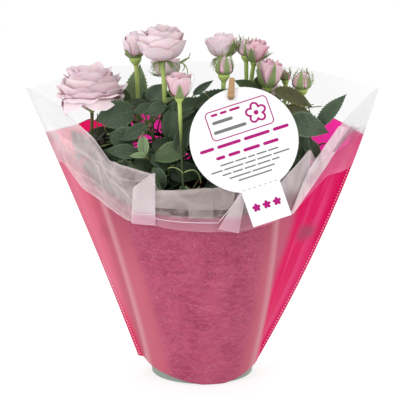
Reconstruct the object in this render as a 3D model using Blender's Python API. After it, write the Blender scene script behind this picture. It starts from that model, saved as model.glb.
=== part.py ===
"""A potted miniature rose in a florist's sleeve.

The plant stands in a round plastic pot. A cone of fibre paper goes round the pot, and a flat bag of
clear film, welded along its two sides, goes round both. The front of the bag is turned down at the top
as a collar. A round card leans on the collar, and a small wooden peg clips it to a shoot of the plant.

Units are metres, +Z is up, the front of the sleeve faces -Y, and the origin is the centre of the pot's
flat underside.
"""

import math

import bmesh
import bpy
import numpy as np
from mathutils import Vector
from mathutils.bvhtree import BVHTree

MM = 0.001
GAP = 0.3 * MM  # between two pieces that touch

# Pot and soil
POT_HEIGHT = 115 * MM
POT_BASE_RADIUS = 45.8 * MM
POT_TOP_RADIUS = 62.5 * MM
POT_RIM_RADIUS = 65 * MM
POT_RIM_DEPTH = 12 * MM
POT_WALL = 1.6 * MM
POT_FLOOR = 2.0 * MM
SOIL_TOP = 104 * MM
SOIL_FALL = 3 * MM  # how far the soil drops from its middle to the pot's wall
SOIL_FLAT_RADIUS = 38 * MM

# Film sleeve: half widths of the flat bag at its seams, and the radius of its round middle, against height
SEAM_LEFT = (57.5 * MM, 0.34, 0.2)
SEAM_RIGHT = (50.0 * MM, 0.56, -0.5)
ROUND_MIDDLE = (47.0 * MM, 0.34, -0.7)
SEAM_STRIP = 5 * MM
LEAST_WING = 1.02  # where the flat wings start, at least, as a share of the round middle's radius
FILM = 0.5 * MM
HEM_HEIGHT = 2 * MM
HEM_RISE = 11 * MM  # the straight lower edge climbs towards the seams once the bag is round
CORNER_HEIGHT = 274 * MM
BACK_TOP = 290 * MM
BACK_TOP_POWER = 4.0
NECK_HEIGHT = 194 * MM
NECK_POWER = {-1: 1.65, 1: 2.9}
COLLAR_HEM = 155 * MM
COLLAR_HEM_POWER = 3.4
COLLAR_LIFT = 4.5 * MM  # how far the collar stands off the sleeve at its hem
COLLAR_FOLD = 1.6 * MM  # how far the fold stands off the sleeve's edge
WIDTH_HEIGHT = 200 * MM  # the height at which a column's share of the width is read
ROUND_STEPS, WING_STEPS = 7, 3  # columns of a panel's half: over its round middle, then over its flat wing
PANEL_STEPS, COLLAR_STEPS, LINER_STEPS = 7, 3, 4

# Fibre paper cone inside the film
LINER_THICK = 0.6 * MM
LINER_TOP = 160 * MM
LINER_HEM_LIFT = 0.6 * MM
LINER_INSET = 0.75 * MM  # inside the film's named radius, so that its facets clear the film's
LINER_SEGMENTS = 40

# Round card with its tear-off tab
TAG_RADIUS = 49 * MM
TAG_CENTRE = (37.5 * MM, -72 * MM, 237 * MM)  # before it is seated on the collar
TAG_THICK = 0.5 * MM
TAG_LEAN = math.radians(23)
TAG_TURN = math.radians(18.5)
TAB_WIDTH = 36 * MM
TAB_END = 78.5 * MM
TAG_SEGMENTS = 48
EDGE_SAMPLES = 12

# Wooden peg
PEG_LENGTH = 25 * MM
PEG_WIDTH = 6 * MM
PEG_TOP_WIDTH = 4.2 * MM
PEG_THICK = 2.6 * MM
PEG_X = 26.5 * MM
PEG_BITE = 11 * MM  # how far the card goes into the jaws
PEG_PIVOT = 13.5 * MM
PEG_SPREAD = 2.4 * MM
COIL_RADIUS = 1.5 * MM
SHOOT_RADIUS = 1.2 * MM

# Plant: canes as (foot x, foot y, the mass each one carries)
CANE_FOOT_RADIUS = 3.4 * MM
CANE_TIP_RADIUS = 2.4 * MM
CANES = {
    "cane_front_left": (-16, -12, "foliage_low_front_left"),
    "cane_front_right": (17, -13, "foliage_low_front_right"),
    "cane_back_left": (-15, 14, "foliage_low_back_left"),
    "cane_back_right": (16, 15, "foliage_low_back_right"),
}

# Masses of foliage in millimetres: centre, then half sizes along X, Y and Z
MASSES = {
    "foliage_low_front_left": ((-42, -33, 167), (50, 33, 40)),
    "foliage_low_front_right": ((36, -34, 165), (50, 32, 38)),
    "foliage_low_back_left": ((-40, 35, 168), (48, 34, 40)),
    "foliage_low_back_right": ((42, 35, 167), (48, 34, 40)),
    "foliage_left": ((-80, -2, 211), (31, 28, 30)),
    "foliage_right": ((92, -2, 214), (37, 26, 33)),
    "foliage_top_left": ((-42, -13, 224), (40, 33, 34)),
    "foliage_top_front": ((14, -20, 220), (36, 32, 32)),
    "foliage_top_right": ((58, -4, 232), (38, 34, 32)),
    "foliage_top_back_left": ((-26, 35, 222), (44, 28, 30)),
    "foliage_top_back_right": ((38, 36, 222), (42, 27, 30)),
}
MASS_GAP = 0.6 * MM
MASS_DETAIL = 3
MASS_UNEVEN = 0.16
MASS_SEED = 11
SLEEVE_CLEARANCE = 6 * MM

# Flowers in millimetres: middle of the bloom, its width and height, its lean (x, y), its fullness, and a
# point inside the foliage that its stem comes from
FLOWERS = {
    "left_open": ((-103, -9, 273), 62, 44, (-0.10, -0.30), 0.62, (-88, -6, 214)),
    "tall_left": ((-65, 24, 314), 23, 28, (-0.10, -0.06), 1.0, (-44, 16, 226)),
    "large": ((-37, -12, 318), 48, 35, (-0.02, -0.14), 0.62, (-34, -8, 226)),
    "behind_large": ((-32, 38, 290), 30, 25, (0.10, 0.10), 0.8, (-24, 30, 226)),
    "front_bud": ((-20, -54, 282), 24, 28, (0.08, -0.12), 1.0, (-20, -36, 168)),
    "centre_tall": ((19, 14, 313), 32, 26, (0.05, -0.05), 0.8, (16, -2, 226)),
    "centre_low": ((13, -26, 291), 17, 24, (0.02, -0.05), 1.0, (14, -22, 226)),
    "right_tall": ((48, 2, 310), 26, 27, (0.16, -0.05), 1.0, (44, 0, 234)),
    "right_pair": ((65, -10, 288), 25, 29, (0.10, -0.12), 1.0, (60, -6, 232)),
    "right_green": ((92, -4, 279), 17, 24, (0.06, -0.05), 1.0, (90, -2, 222)),
    "right_small": ((82, 22, 288), 10, 15, (-0.05, 0.10), 1.0, (66, 14, 234)),
    "back_right": ((60, 36, 268), 28, 26, (0.10, 0.26), 0.7, (44, 34, 224)),
    "back_left": ((-66, 40, 262), 27, 25, (-0.12, 0.28), 0.8, (-34, 34, 224)),
}
STEM_TOP_RADIUS = 2.0 * MM
STEM_FOOT_RADIUS = 1.7 * MM
CALYX_RADIUS = 3.4 * MM
BLOOM_SEGMENTS = 10
BLOOM_RINGS = (0.0, 0.1, 0.26, 0.48, 0.74, 0.93)  # shares of a bloom's height
BLOOM_ROUNDNESS = 0.6

POT_SEGMENTS = 32
STEM_SIDES = 6
CANE_SIDES = 10


def clear_scene():
    for ob in list(bpy.data.objects):
        bpy.data.objects.remove(ob, do_unlink=True)


def plain_material(name, rgb, roughness, metallic=0.0, alpha=1.0):
    """A Principled material in one colour."""
    mat = bpy.data.materials.new(name)
    mat.use_nodes = True
    shader = mat.node_tree.nodes["Principled BSDF"]
    shader.inputs["Base Color"].default_value = (*rgb, 1.0)
    shader.inputs["Roughness"].default_value = roughness
    shader.inputs["Metallic"].default_value = metallic
    shader.inputs["Alpha"].default_value = alpha
    return mat


def add_piece(name, points, faces, mat, smooth_angle=40):
    """One named object from points and faces, with its normals turned outwards."""
    mesh = bpy.data.meshes.new(name)
    mesh.from_pydata([tuple(map(float, p)) for p in points], [], [tuple(map(int, f)) for f in faces])
    bm = bmesh.new()
    bm.from_mesh(mesh)
    bmesh.ops.recalc_face_normals(bm, faces=bm.faces)
    bm.to_mesh(mesh)
    bm.free()
    mesh.shade_smooth()
    mesh.set_sharp_from_angle(angle=math.radians(smooth_angle))
    mesh.materials.append(mat)
    piece = bpy.data.objects.new(name, mesh)
    bpy.context.scene.collection.objects.link(piece)
    return piece


def surface_tree(piece):
    """The piece's surface, ready for nearest-point questions."""
    mesh = piece.data
    mesh.calc_loop_triangles()
    corners = [v.co.copy() for v in mesh.vertices]
    return BVHTree.FromPolygons(corners, [tuple(t.vertices) for t in mesh.loop_triangles])


def clearance(tree, point):
    """How far outside the surface a point is, negative when it is inside."""
    spot, normal, _, distance = tree.find_nearest(Vector(point))
    outside = (Vector(point) - spot).dot(normal) > 0
    return distance if outside else -distance


def quadratic(curve, height):
    """A start value, a slope and a bend per metre, read at a height."""
    start, slope, bend = curve
    return start + slope * height + bend * height**2


# ---------------------------------------------------------------- turned and swept solids


def ring_faces(first, second, count):
    """Quads between two rings of points that start at the given indexes."""
    turn = range(count)
    return [(first + i, first + (i + 1) % count, second + (i + 1) % count, second + i) for i in turn]


def turned(profile, segments):
    """Points and faces of a closed turned solid. The profile runs from the axis round to the axis again."""
    points, faces, rings = [], [], []
    for radius, height in profile:
        if radius == 0:
            rings.append((len(points), 1))
            points.append((0.0, 0.0, height))
            continue
        rings.append((len(points), segments))
        for i in range(segments):
            angle = 2 * math.pi * i / segments
            points.append((radius * math.cos(angle), radius * math.sin(angle), height))
    for (start, count), (after, next_count) in zip(rings, rings[1:]):
        if count == 1:
            faces += [(start, after + (i + 1) % segments, after + i) for i in range(segments)]
        elif next_count == 1:
            faces += [(start + i, start + (i + 1) % segments, after) for i in range(segments)]
        else:
            faces += ring_faces(start, after, segments)
    return points, faces


def swept(path, radii, sides):
    """Points and faces of a round limb along a path, with flat ends and rings that don't twist."""
    path, radii = [Vector(p) for p in path], [float(r) for r in radii]
    points, faces = [], []
    lengthwise = abs((path[1] - path[0]).normalized().x) > 0.9
    side = Vector((0, 1, 0)) if lengthwise else Vector((1, 0, 0))
    for i, (centre, radius) in enumerate(zip(path, radii)):
        ahead = path[min(i + 1, len(path) - 1)] - path[max(i - 1, 0)]
        ahead.normalize()
        side = (side - ahead * side.dot(ahead)).normalized()
        other = ahead.cross(side)
        for k in range(sides):
            angle = 2 * math.pi * k / sides
            points.append(centre + radius * (math.cos(angle) * side + math.sin(angle) * other))
        if i:
            faces += ring_faces((i - 1) * sides, i * sides, sides)
    last = (len(path) - 1) * sides
    faces.append(tuple(range(sides)))
    faces.append(tuple(last + k for k in range(sides)))
    return points, faces


def slab(inner, outer):
    """Points and faces of a thin sheet between two grids of points of the same shape.

    Each square is cut along the same diagonal on both sides, so that the sheet keeps its thickness.
    """
    rows, cols = inner.shape[:2]
    points = np.concatenate([inner.reshape(-1, 3), outer.reshape(-1, 3)])
    index = np.arange(rows * cols).reshape(rows, cols)
    faces = []
    for shift, step in ((0, 1), (rows * cols, -1)):
        for r in range(rows - 1):
            for c in range(cols - 1):
                near, next_near, next_far, far = index[r : r + 2, c : c + 2].ravel()[[0, 1, 3, 2]] + shift
                faces.append((near, next_near, next_far)[::step])
                faces.append((near, next_far, far)[::step])
    border = [*index[0, :-1], *index[:-1, -1], *index[-1, :0:-1], *index[:0:-1, 0]]
    shift = rows * cols
    for a, b in zip(border, border[1:] + border[:1]):
        faces.append((b, a, a + shift, b + shift))
    return points, faces


# ---------------------------------------------------------------- pot and soil


def pot_radius(height):
    """Outer radius of the pot's tapered wall."""
    return POT_BASE_RADIUS + (POT_TOP_RADIUS - POT_BASE_RADIUS) * height / POT_HEIGHT


def make_pot():
    rim_start = POT_HEIGHT - POT_RIM_DEPTH
    profile = [
        (0, 0),
        (POT_BASE_RADIUS, 0),
        (pot_radius(rim_start), rim_start),
        (POT_RIM_RADIUS, rim_start),
        (POT_RIM_RADIUS, POT_HEIGHT),
        (POT_TOP_RADIUS - POT_WALL, POT_HEIGHT),
        (pot_radius(POT_FLOOR) - POT_WALL, POT_FLOOR),
        (0, POT_FLOOR),
    ]
    grey = plain_material("pot_grey", (0.30, 0.33, 0.30), 0.5)
    add_piece("pot", *turned(profile, POT_SEGMENTS), grey)


def make_soil():
    bottom, edge_top = POT_FLOOR + GAP, SOIL_TOP - SOIL_FALL
    profile = [
        (0, bottom),
        (pot_radius(bottom) - POT_WALL - GAP, bottom),
        (pot_radius(edge_top) - POT_WALL - GAP, edge_top),
        (SOIL_FLAT_RADIUS, SOIL_TOP),
        (0, SOIL_TOP),
    ]
    peat = plain_material("peat", (0.06, 0.04, 0.03), 0.95)
    add_piece("soil", *turned(profile, POT_SEGMENTS), peat)


# ---------------------------------------------------------------- film sleeve


def seam_x(side, height):
    """Distance of a seam from the middle at a height. Side is -1 on the left and 1 on the right."""
    return quadratic(SEAM_LEFT if side < 0 else SEAM_RIGHT, height)


def section_point(side, height, part, share, offset):
    """A point of the sleeve's section: a round middle, a flat wing tangent to it, and a welded strip.

    Share goes from 0 to 1 along the part. Offset is how far the point lies outside the section.
    Y is positive here.
    """
    radius = quadratic(ROUND_MIDDLE, height)
    root = max(seam_x(side, height) - SEAM_STRIP, LEAST_WING * radius)
    lean = math.acos(radius / root)
    across, forward = math.cos(lean), math.sin(lean)
    if part == "round":
        angle = share * (math.pi / 2 - lean)
        x, y = (radius + offset) * math.sin(angle), (radius + offset) * math.cos(angle)
    elif part == "wing":
        start = (radius + offset) * across, (radius + offset) * forward
        end = (radius + offset - offset * forward) / across, offset
        x, y = (start[k] + share * (end[k] - start[k]) for k in (0, 1))
    else:
        start = (radius + offset - offset * forward) / across
        x, y = start + share * SEAM_STRIP, offset
    return side * x, y


def stations(side):
    """The columns of a panel's half, from its middle to its seam, as (part, share along it)."""
    columns = [("round", i / ROUND_STEPS) for i in range(ROUND_STEPS + 1)]
    columns += [("wing", (i + 1) / WING_STEPS) for i in range(WING_STEPS)]
    return [(side, part, share) for part, share in [*columns, ("strip", 1.0)]]


def all_stations():
    """The columns of a whole panel, from its left seam to its right seam."""
    return stations(-1)[:0:-1] + stations(1)


def width_share(station):
    """How far a column lies towards its seam, from 0 to 1."""
    side, part, share = station
    x, _ = section_point(side, WIDTH_HEIGHT, part, share, 0)
    return abs(x) / seam_x(side, WIDTH_HEIGHT)


def hem_height(share):
    return HEM_HEIGHT + HEM_RISE * share**2


def back_top(_, share):
    return BACK_TOP - (BACK_TOP - CORNER_HEIGHT) * share**BACK_TOP_POWER


def neck_height(side, share):
    return NECK_HEIGHT + (CORNER_HEIGHT - NECK_HEIGHT) * share ** NECK_POWER[side]


def collar_hem(share):
    return COLLAR_HEM + (CORNER_HEIGHT - COLLAR_HEM) * share**COLLAR_HEM_POWER


def panel_grid(facing, offset, low, high):
    """Points of one film panel. Facing is -1 at the front and 1 at the back."""
    grid = []
    for v in np.linspace(0, 1, PANEL_STEPS + 1):
        row = []
        for station in all_stations():
            side, part, share = station
            width = width_share(station)
            height = low(width) + v * (high(side, width) - low(width))
            x, y = section_point(side, height, part, share, offset)
            row.append((x, facing * y, height))
        grid.append(row)
    return np.array(grid)


def make_sleeve(film):
    inner, outer = GAP / 2, GAP / 2 + FILM
    panels = []
    for name, facing, top in (("sleeve_front", -1, neck_height), ("sleeve_back", 1, back_top)):
        grids = [panel_grid(facing, offset, hem_height, top) for offset in (inner, outer)]
        panels.append(add_piece(name, *slab(*grids), film, smooth_angle=30))
    return panels


def make_collar(film):
    """The turned-down top of the front panel: it hangs from the neckline to its own hem."""
    grids = []
    for thick in (0, FILM):
        grid = []
        for v in np.linspace(0, 1, COLLAR_STEPS + 1):
            row = []
            for station in all_stations()[1:-1]:
                side, part, share = station
                width = width_share(station)
                top = neck_height(side, width) - COLLAR_FOLD
                height = top + v * (collar_hem(width) - top)
                lift = COLLAR_FOLD + v * (COLLAR_LIFT - COLLAR_FOLD) - FILM
                x, y = section_point(side, height, part, share, GAP * 1.5 + FILM + lift * v + thick)
                row.append((x, -y, height))
            grid.append(row)
        grids.append(np.array(grid))
    return add_piece("collar", *slab(*grids), film, smooth_angle=30)


def make_liner():
    """A paper cone just inside the film's round middle."""
    grids = []
    for offset in (-LINER_INSET - LINER_THICK, -LINER_INSET):
        grid = []
        for v in np.linspace(0, 1, LINER_STEPS + 1):
            row = []
            for i in range(LINER_SEGMENTS):
                angle = 2 * math.pi * i / LINER_SEGMENTS
                low = hem_height(abs(math.cos(angle)) * 0.85) + LINER_HEM_LIFT
                height = low + v * (LINER_TOP - low)
                radius = quadratic(ROUND_MIDDLE, height) + offset
                row.append((radius * math.cos(angle), radius * math.sin(angle), height))
            grid.append(row)
        grids.append(np.array(grid))
    inner, outer = grids
    rows, cols = inner.shape[:2]
    points = np.concatenate([inner.reshape(-1, 3), outer.reshape(-1, 3)])
    far = rows * cols
    faces = []
    for r in range(rows - 1):
        faces += ring_faces(r * cols, (r + 1) * cols, cols)
        faces += ring_faces(far + r * cols, far + (r + 1) * cols, cols)
    faces += ring_faces(0, far, cols)
    faces += ring_faces((rows - 1) * cols, far + (rows - 1) * cols, cols)
    paper = plain_material("fibre_paper", (0.62, 0.12, 0.24), 0.8)
    add_piece("liner", points, faces, paper, smooth_angle=30)


# ---------------------------------------------------------------- foliage


def inside_sleeve(point, margin):
    """True when a point is the margin inside the film, and inside the paper cone where there is one."""
    x, y, z = abs(point[0]), abs(point[1]), point[2]
    radius = quadratic(ROUND_MIDDLE, z) - margin
    if x * x + y * y < radius * radius:
        return True
    root = seam_x(math.copysign(1, point[0]), z) - SEAM_STRIP - 2 * margin
    across = min(radius / root, 0.999)
    below_wing = x * across + y * math.sqrt(1 - across**2) < radius
    return z > LINER_TOP + margin and x > radius * across and below_wing


def unevenness(directions, rng):
    """A few slow waves over the directions, between about -1 and 1."""
    total = np.zeros(len(directions))
    for _ in range(6):
        axis = rng.normal(size=3)
        axis *= rng.uniform(2.0, 4.5) / np.linalg.norm(axis)
        total += np.sin(directions @ axis + rng.uniform(0, 2 * math.pi))
    return total / 3


def make_mass(name, leaf):
    """A closed uneven solid round its centre, cut flat where the next mass begins."""
    centre, sizes = (np.array(v) * MM for v in MASSES[name])
    rng = np.random.default_rng(MASS_SEED + list(MASSES).index(name))
    bm = bmesh.new()
    bmesh.ops.create_icosphere(bm, subdivisions=MASS_DETAIL, radius=1)
    directions = np.array([v.co[:] for v in bm.verts])
    reach = 1 / np.linalg.norm(directions / sizes, axis=1)
    reach *= 1 + MASS_UNEVEN * unevenness(directions, rng)
    for other, (other_centre, _) in MASSES.items():
        if other == name:
            continue
        apart = np.array(other_centre) * MM - centre
        length = np.linalg.norm(apart)
        towards = directions @ (apart / length)
        limit = (length - MASS_GAP) / 2 / np.maximum(towards, 1e-6)
        reach = np.where(towards > 0, np.minimum(reach, limit), reach)
    for vert, direction, far in zip(bm.verts, directions, reach):
        while not inside_sleeve(centre + direction * far, SLEEVE_CLEARANCE):
            far *= 0.97
        vert.co = Vector(centre + direction * far)
    mesh = bpy.data.meshes.new(name)
    bm.to_mesh(mesh)
    bm.free()
    points = [v.co[:] for v in mesh.vertices]
    faces = [tuple(p.vertices) for p in mesh.polygons]
    bpy.data.meshes.remove(mesh)
    return add_piece(name, points, faces, leaf, smooth_angle=60)


def bend(start, control, end, steps):
    """Points of a quadratic curve that leaves its start towards the control point."""
    t = np.linspace(0, 1, steps)[:, None]
    start, control, end = (np.array(p, float) for p in (start, control, end))
    return (1 - t) ** 2 * start + 2 * t * (1 - t) * control + t**2 * end


def length_to_foliage(path, radius, trees):
    """How many of the path's points come before the limb's end would touch any mass."""
    for i in range(1, len(path)):
        ahead = (path[i] - path[i - 1]) / np.linalg.norm(path[i] - path[i - 1])
        side = np.cross(ahead, (0.0, 1.0, 0.3))
        side /= np.linalg.norm(side)
        other = np.cross(ahead, side)
        for k in range(12):
            angle = 2 * math.pi * k / 12
            rim = path[i] + radius * (math.cos(angle) * side + math.sin(angle) * other)
            if min(clearance(tree, rim) for tree in trees) < GAP:
                return i
    return len(path)


LIMB_RINGS = 7
PATH_STEPS = 400


def thin_out(path, rings):
    """A few points of a path, its two ends among them."""
    return path[np.round(np.linspace(0, len(path) - 1, rings)).astype(int)]


def make_cane(name, wood, trees):
    foot_x, foot_y, mass = CANES[name]
    foot = np.array((foot_x * MM, foot_y * MM, SOIL_TOP + GAP))
    target = np.array(MASSES[mass][0]) * MM
    above = foot + np.array((0, 0, 0.35 * (target[2] - foot[2])))
    path = bend(foot, above, target, PATH_STEPS)
    path = path[: length_to_foliage(path, CANE_TIP_RADIUS, trees)]
    radii = np.linspace(CANE_FOOT_RADIUS, CANE_TIP_RADIUS, LIMB_RINGS)
    add_piece(name, *swept(thin_out(path, LIMB_RINGS), radii, CANE_SIDES), wood)


def bloom_axis(lean):
    axis = np.array((lean[0], lean[1], 1.0))
    return axis / np.linalg.norm(axis)


def bloom_profile(width, height, fullness):
    """Radius against height: a narrow calyx, then petals that swell and close.

    A low fullness opens early.
    """
    profile = [(0.0, 0.0)]
    for t in BLOOM_RINGS:
        swell = math.sin(math.pi * t**fullness) ** BLOOM_ROUNDNESS
        profile.append((CALYX_RADIUS * (1 - t) + (width / 2 - CALYX_RADIUS * (1 - t)) * swell, t * height))
    profile.append((0.0, height))
    return profile


def make_flower(name, petals, green, trees):
    """A bloom on its stem. The stem runs down from the calyx until it meets the foliage."""
    middle, width, height, lean, fullness, root = FLOWERS[name]
    middle, root = np.array(middle) * MM, np.array(root) * MM
    width, height = width * MM, height * MM
    axis = bloom_axis(lean)
    base = middle - axis * height / 2
    points, faces = turned(bloom_profile(width, height, fullness), BLOOM_SEGMENTS)
    turn = Vector((0, 0, 1)).rotation_difference(Vector(axis)).to_matrix()
    placed = [turn @ Vector(p) + Vector(base) for p in points]
    add_piece("bloom_" + name, placed, faces, petals, smooth_angle=50)
    top = base - axis * GAP
    below = top - axis * 0.45 * np.linalg.norm(top - root)
    path = bend(top, below, root, PATH_STEPS)
    path = path[: length_to_foliage(path, STEM_FOOT_RADIUS, trees)]
    radii = np.linspace(STEM_TOP_RADIUS, STEM_FOOT_RADIUS, LIMB_RINGS)
    add_piece("stem_" + name, *swept(thin_out(path, LIMB_RINGS), radii, STEM_SIDES), green)


# ---------------------------------------------------------------- card and peg


UPHILL = np.array((0.0, math.sin(TAG_LEAN), math.cos(TAG_LEAN)))  # up the card's slope
TAG_RIGHT = math.cos(TAG_TURN) * np.array((1.0, 0.0, 0.0)) + math.sin(TAG_TURN) * UPHILL
TAG_UP = math.cos(TAG_TURN) * UPHILL - math.sin(TAG_TURN) * np.array((1.0, 0.0, 0.0))
TAG_OUT = np.array((0.0, -math.cos(TAG_LEAN), math.sin(TAG_LEAN)))


def tag_outline():
    """The card's outline about the disc's centre: a circle that runs into a straight tab below."""
    start = math.asin(TAB_WIDTH / 2 / TAG_RADIUS)
    turn = 2 * math.pi - 2 * start
    outline = []
    for i in range(TAG_SEGMENTS + 1):
        angle = -math.pi / 2 + start + turn * i / TAG_SEGMENTS
        outline.append((TAG_RADIUS * math.cos(angle), TAG_RADIUS * math.sin(angle)))
    return [*outline, (-TAB_WIDTH / 2, -TAB_END), (TAB_WIDTH / 2, -TAB_END)]


def on_card(across, up):
    """True where a point of the card's plane, about the disc's centre, lies on the card."""
    return across**2 + up**2 < TAG_RADIUS**2 or (abs(across) < TAB_WIDTH / 2 and -TAB_END < up < 0)


def edge_points(piece):
    """Points along all of a piece's edges."""
    corners = np.array([v.co[:] for v in piece.data.vertices])
    ends = np.array([e.vertices[:] for e in piece.data.edges])
    share = np.linspace(0, 1, EDGE_SAMPLES)[:, None, None]
    return (corners[ends[:, 0]] * (1 - share) + corners[ends[:, 1]] * share).reshape(-1, 3)


def tag_centre(supports):
    """The disc's centre on the card's back face, where the card leans on its supports."""
    centre = np.array(TAG_CENTRE)
    spots = np.concatenate([edge_points(piece) for piece in supports]) - centre
    reach = max(spot @ TAG_OUT for spot in spots if on_card(spot @ TAG_RIGHT, spot @ TAG_UP))
    return centre + TAG_OUT * (reach + GAP)


def make_tag(centre):
    outline = tag_outline()
    count = len(outline)
    points = [centre + a * TAG_RIGHT + b * TAG_UP + t * TAG_OUT for t in (0, TAG_THICK) for a, b in outline]
    faces = [tuple(range(count)), tuple(range(2 * count - 1, count - 1, -1)), *ring_faces(0, count, count)]
    card = plain_material("card", (0.92, 0.92, 0.92), 0.45)
    add_piece("tag", points, faces, card, smooth_angle=30)


def peg_frame(centre):
    """The peg's origin on the card's back face, where its jaws end, and its three directions."""
    offset = (PEG_X - centre[0]) * np.array((1.0, 0, 0))
    rise = math.sqrt(TAG_RADIUS**2 - offset[0] ** 2)
    return centre + offset + UPHILL * (rise - PEG_BITE), np.array((1.0, 0, 0)), UPHILL, TAG_OUT


def lever(frame, face, outward):
    """One half of the peg: a side outline carried across. Face is where its gripping side lies."""
    origin, across, along, out = frame
    side = [
        (0.0, 0.4 * MM),
        (PEG_PIVOT + 2 * MM, 0.0),
        (PEG_LENGTH, PEG_SPREAD),
        (PEG_LENGTH, PEG_SPREAD + 0.6 * PEG_THICK),
        (PEG_PIVOT + 2 * MM, PEG_THICK),
        (1.5 * MM, PEG_THICK),
        (0.0, 0.7 * PEG_THICK),
    ]
    points = []
    for sign in (-1, 1):
        for s, n in side:
            half = (PEG_WIDTH + (PEG_TOP_WIDTH - PEG_WIDTH) * s / PEG_LENGTH) / 2
            points.append(origin + sign * half * across + s * along + (face + outward * n) * out)
    count = len(side)
    faces = [tuple(range(count)), tuple(range(2 * count - 1, count - 1, -1)), *ring_faces(0, count, count)]
    return points, faces


def make_peg(frame):
    origin, across, along, out = frame
    wood = plain_material("peg_wood", (0.60, 0.38, 0.20), 0.6)
    steel = plain_material("peg_wire", (0.55, 0.55, 0.55), 0.3, metallic=1.0)
    front = TAG_THICK + GAP
    back = -2 * SHOOT_RADIUS - 2 * GAP
    add_piece("peg_front", *lever(frame, front, 1), wood, smooth_angle=30)
    add_piece("peg_back", *lever(frame, back, -1), wood, smooth_angle=30)
    middle = origin + PEG_PIVOT * along + (front + back) / 2 * out
    ends = [middle - PEG_WIDTH / 2 * across, middle + PEG_WIDTH / 2 * across]
    radius = (front - back) / 2 - GAP
    add_piece("peg_coil", *swept(ends, [radius, radius], 12), steel)


def make_tag_shoot(frame, green, trees):
    """The young shoot that the peg grips behind the card. It ends between the jaws."""
    origin, _, along, out = frame
    grip = origin - (GAP + SHOOT_RADIUS) * out
    tip = grip + (PEG_PIVOT - COIL_RADIUS - 2.5 * MM) * along
    root = np.array(MASSES["foliage_top_front"][0]) * MM
    curve = bend(grip - 2 * MM * along, grip - 22 * MM * along, root, PATH_STEPS)
    curve = curve[: length_to_foliage(curve, SHOOT_RADIUS, trees)]
    path = np.concatenate([[tip], thin_out(curve, LIMB_RINGS)])
    add_piece("tag_shoot", *swept(path, [SHOOT_RADIUS] * len(path), STEM_SIDES), green)


def main():
    clear_scene()
    film = plain_material("film", (0.90, 0.35, 0.50), 0.15, alpha=0.5)
    leaf = plain_material("leaf", (0.07, 0.12, 0.05), 0.5)
    wood = plain_material("cane", (0.20, 0.16, 0.08), 0.7)
    green = plain_material("green_stem", (0.25, 0.36, 0.10), 0.5)
    petals = plain_material("petals", (0.86, 0.62, 0.68), 0.6)
    make_pot()
    make_soil()
    make_liner()
    front, _ = make_sleeve(film)
    collar = make_collar(film)
    masses = [make_mass(name, leaf) for name in MASSES]
    trees = [surface_tree(mass) for mass in masses]
    for name in CANES:
        make_cane(name, wood, trees)
    for name in FLOWERS:
        make_flower(name, petals, green, trees)
    centre = tag_centre([collar, front])
    frame = peg_frame(centre)
    make_tag(centre)
    make_peg(frame)
    make_tag_shoot(frame, green, trees)


main()
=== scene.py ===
"""A potted miniature rose in its florist's sleeve, as a lesson in cells.

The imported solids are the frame: they give every place and size. This script dresses them with leaves,
petals, crumpled film and printed card. Units are metres, the sleeve's front faces -Y, and +Z is up.
"""

# %% [markdown]
# # The frame
# The frame holds one closed solid for each part of the plant and its wrapping.

# %% load the frame
import math

import bpy
import numpy as np
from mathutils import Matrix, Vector


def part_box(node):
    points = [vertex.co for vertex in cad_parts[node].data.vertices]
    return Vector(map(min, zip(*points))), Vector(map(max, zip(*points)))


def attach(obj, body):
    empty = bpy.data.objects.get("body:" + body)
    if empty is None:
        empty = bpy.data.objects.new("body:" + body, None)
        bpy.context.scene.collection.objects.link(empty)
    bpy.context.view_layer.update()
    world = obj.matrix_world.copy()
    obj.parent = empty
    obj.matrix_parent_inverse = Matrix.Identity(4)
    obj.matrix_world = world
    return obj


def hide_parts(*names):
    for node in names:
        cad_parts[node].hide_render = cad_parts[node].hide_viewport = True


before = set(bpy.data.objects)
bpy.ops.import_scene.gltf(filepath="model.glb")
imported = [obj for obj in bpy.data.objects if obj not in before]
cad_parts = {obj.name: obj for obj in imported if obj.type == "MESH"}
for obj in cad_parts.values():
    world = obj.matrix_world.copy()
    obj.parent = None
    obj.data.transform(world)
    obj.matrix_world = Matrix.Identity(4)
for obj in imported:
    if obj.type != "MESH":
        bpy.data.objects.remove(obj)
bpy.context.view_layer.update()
MM = 0.001
print("the frame has", len(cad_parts), "solids")

# %% [markdown]
# # Camera and light
# The camera stands 1.45 m away and looks 11 degrees down. A long lens keeps the sleeve's sides straight.
# It is worked out from the width of what it should see at that distance, as its view is square.

# %% camera
DISTANCE, ELEVATION = 1.45, math.radians(11)
TARGET = Vector((-0.002, 0.0, 0.167))
SEEN_WIDTH, SENSOR_WIDTH = 0.38, 36.0  # metres across the view at the target, and millimetres


def place_object(name, data, place=(0, 0, 0), backwards=None):
    """An object in the scene. A camera or a lamp is turned so that its back points backwards."""
    item = bpy.data.objects.new(name, data)
    item.location = place
    if backwards is not None:
        item.rotation_euler = backwards.to_track_quat("Z", "Y").to_euler()
    bpy.context.scene.collection.objects.link(item)
    return item


lens = bpy.data.cameras.new("camera")
lens.sensor_width, lens.lens = SENSOR_WIDTH, SENSOR_WIDTH * DISTANCE / SEEN_WIDTH
towards_camera = Vector((0, -math.cos(ELEVATION), math.sin(ELEVATION)))
camera = place_object("camera", lens, TARGET + DISTANCE * towards_camera, towards_camera)
bpy.context.scene.camera = camera
print("lens", round(lens.lens, 1), "mm")
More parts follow.
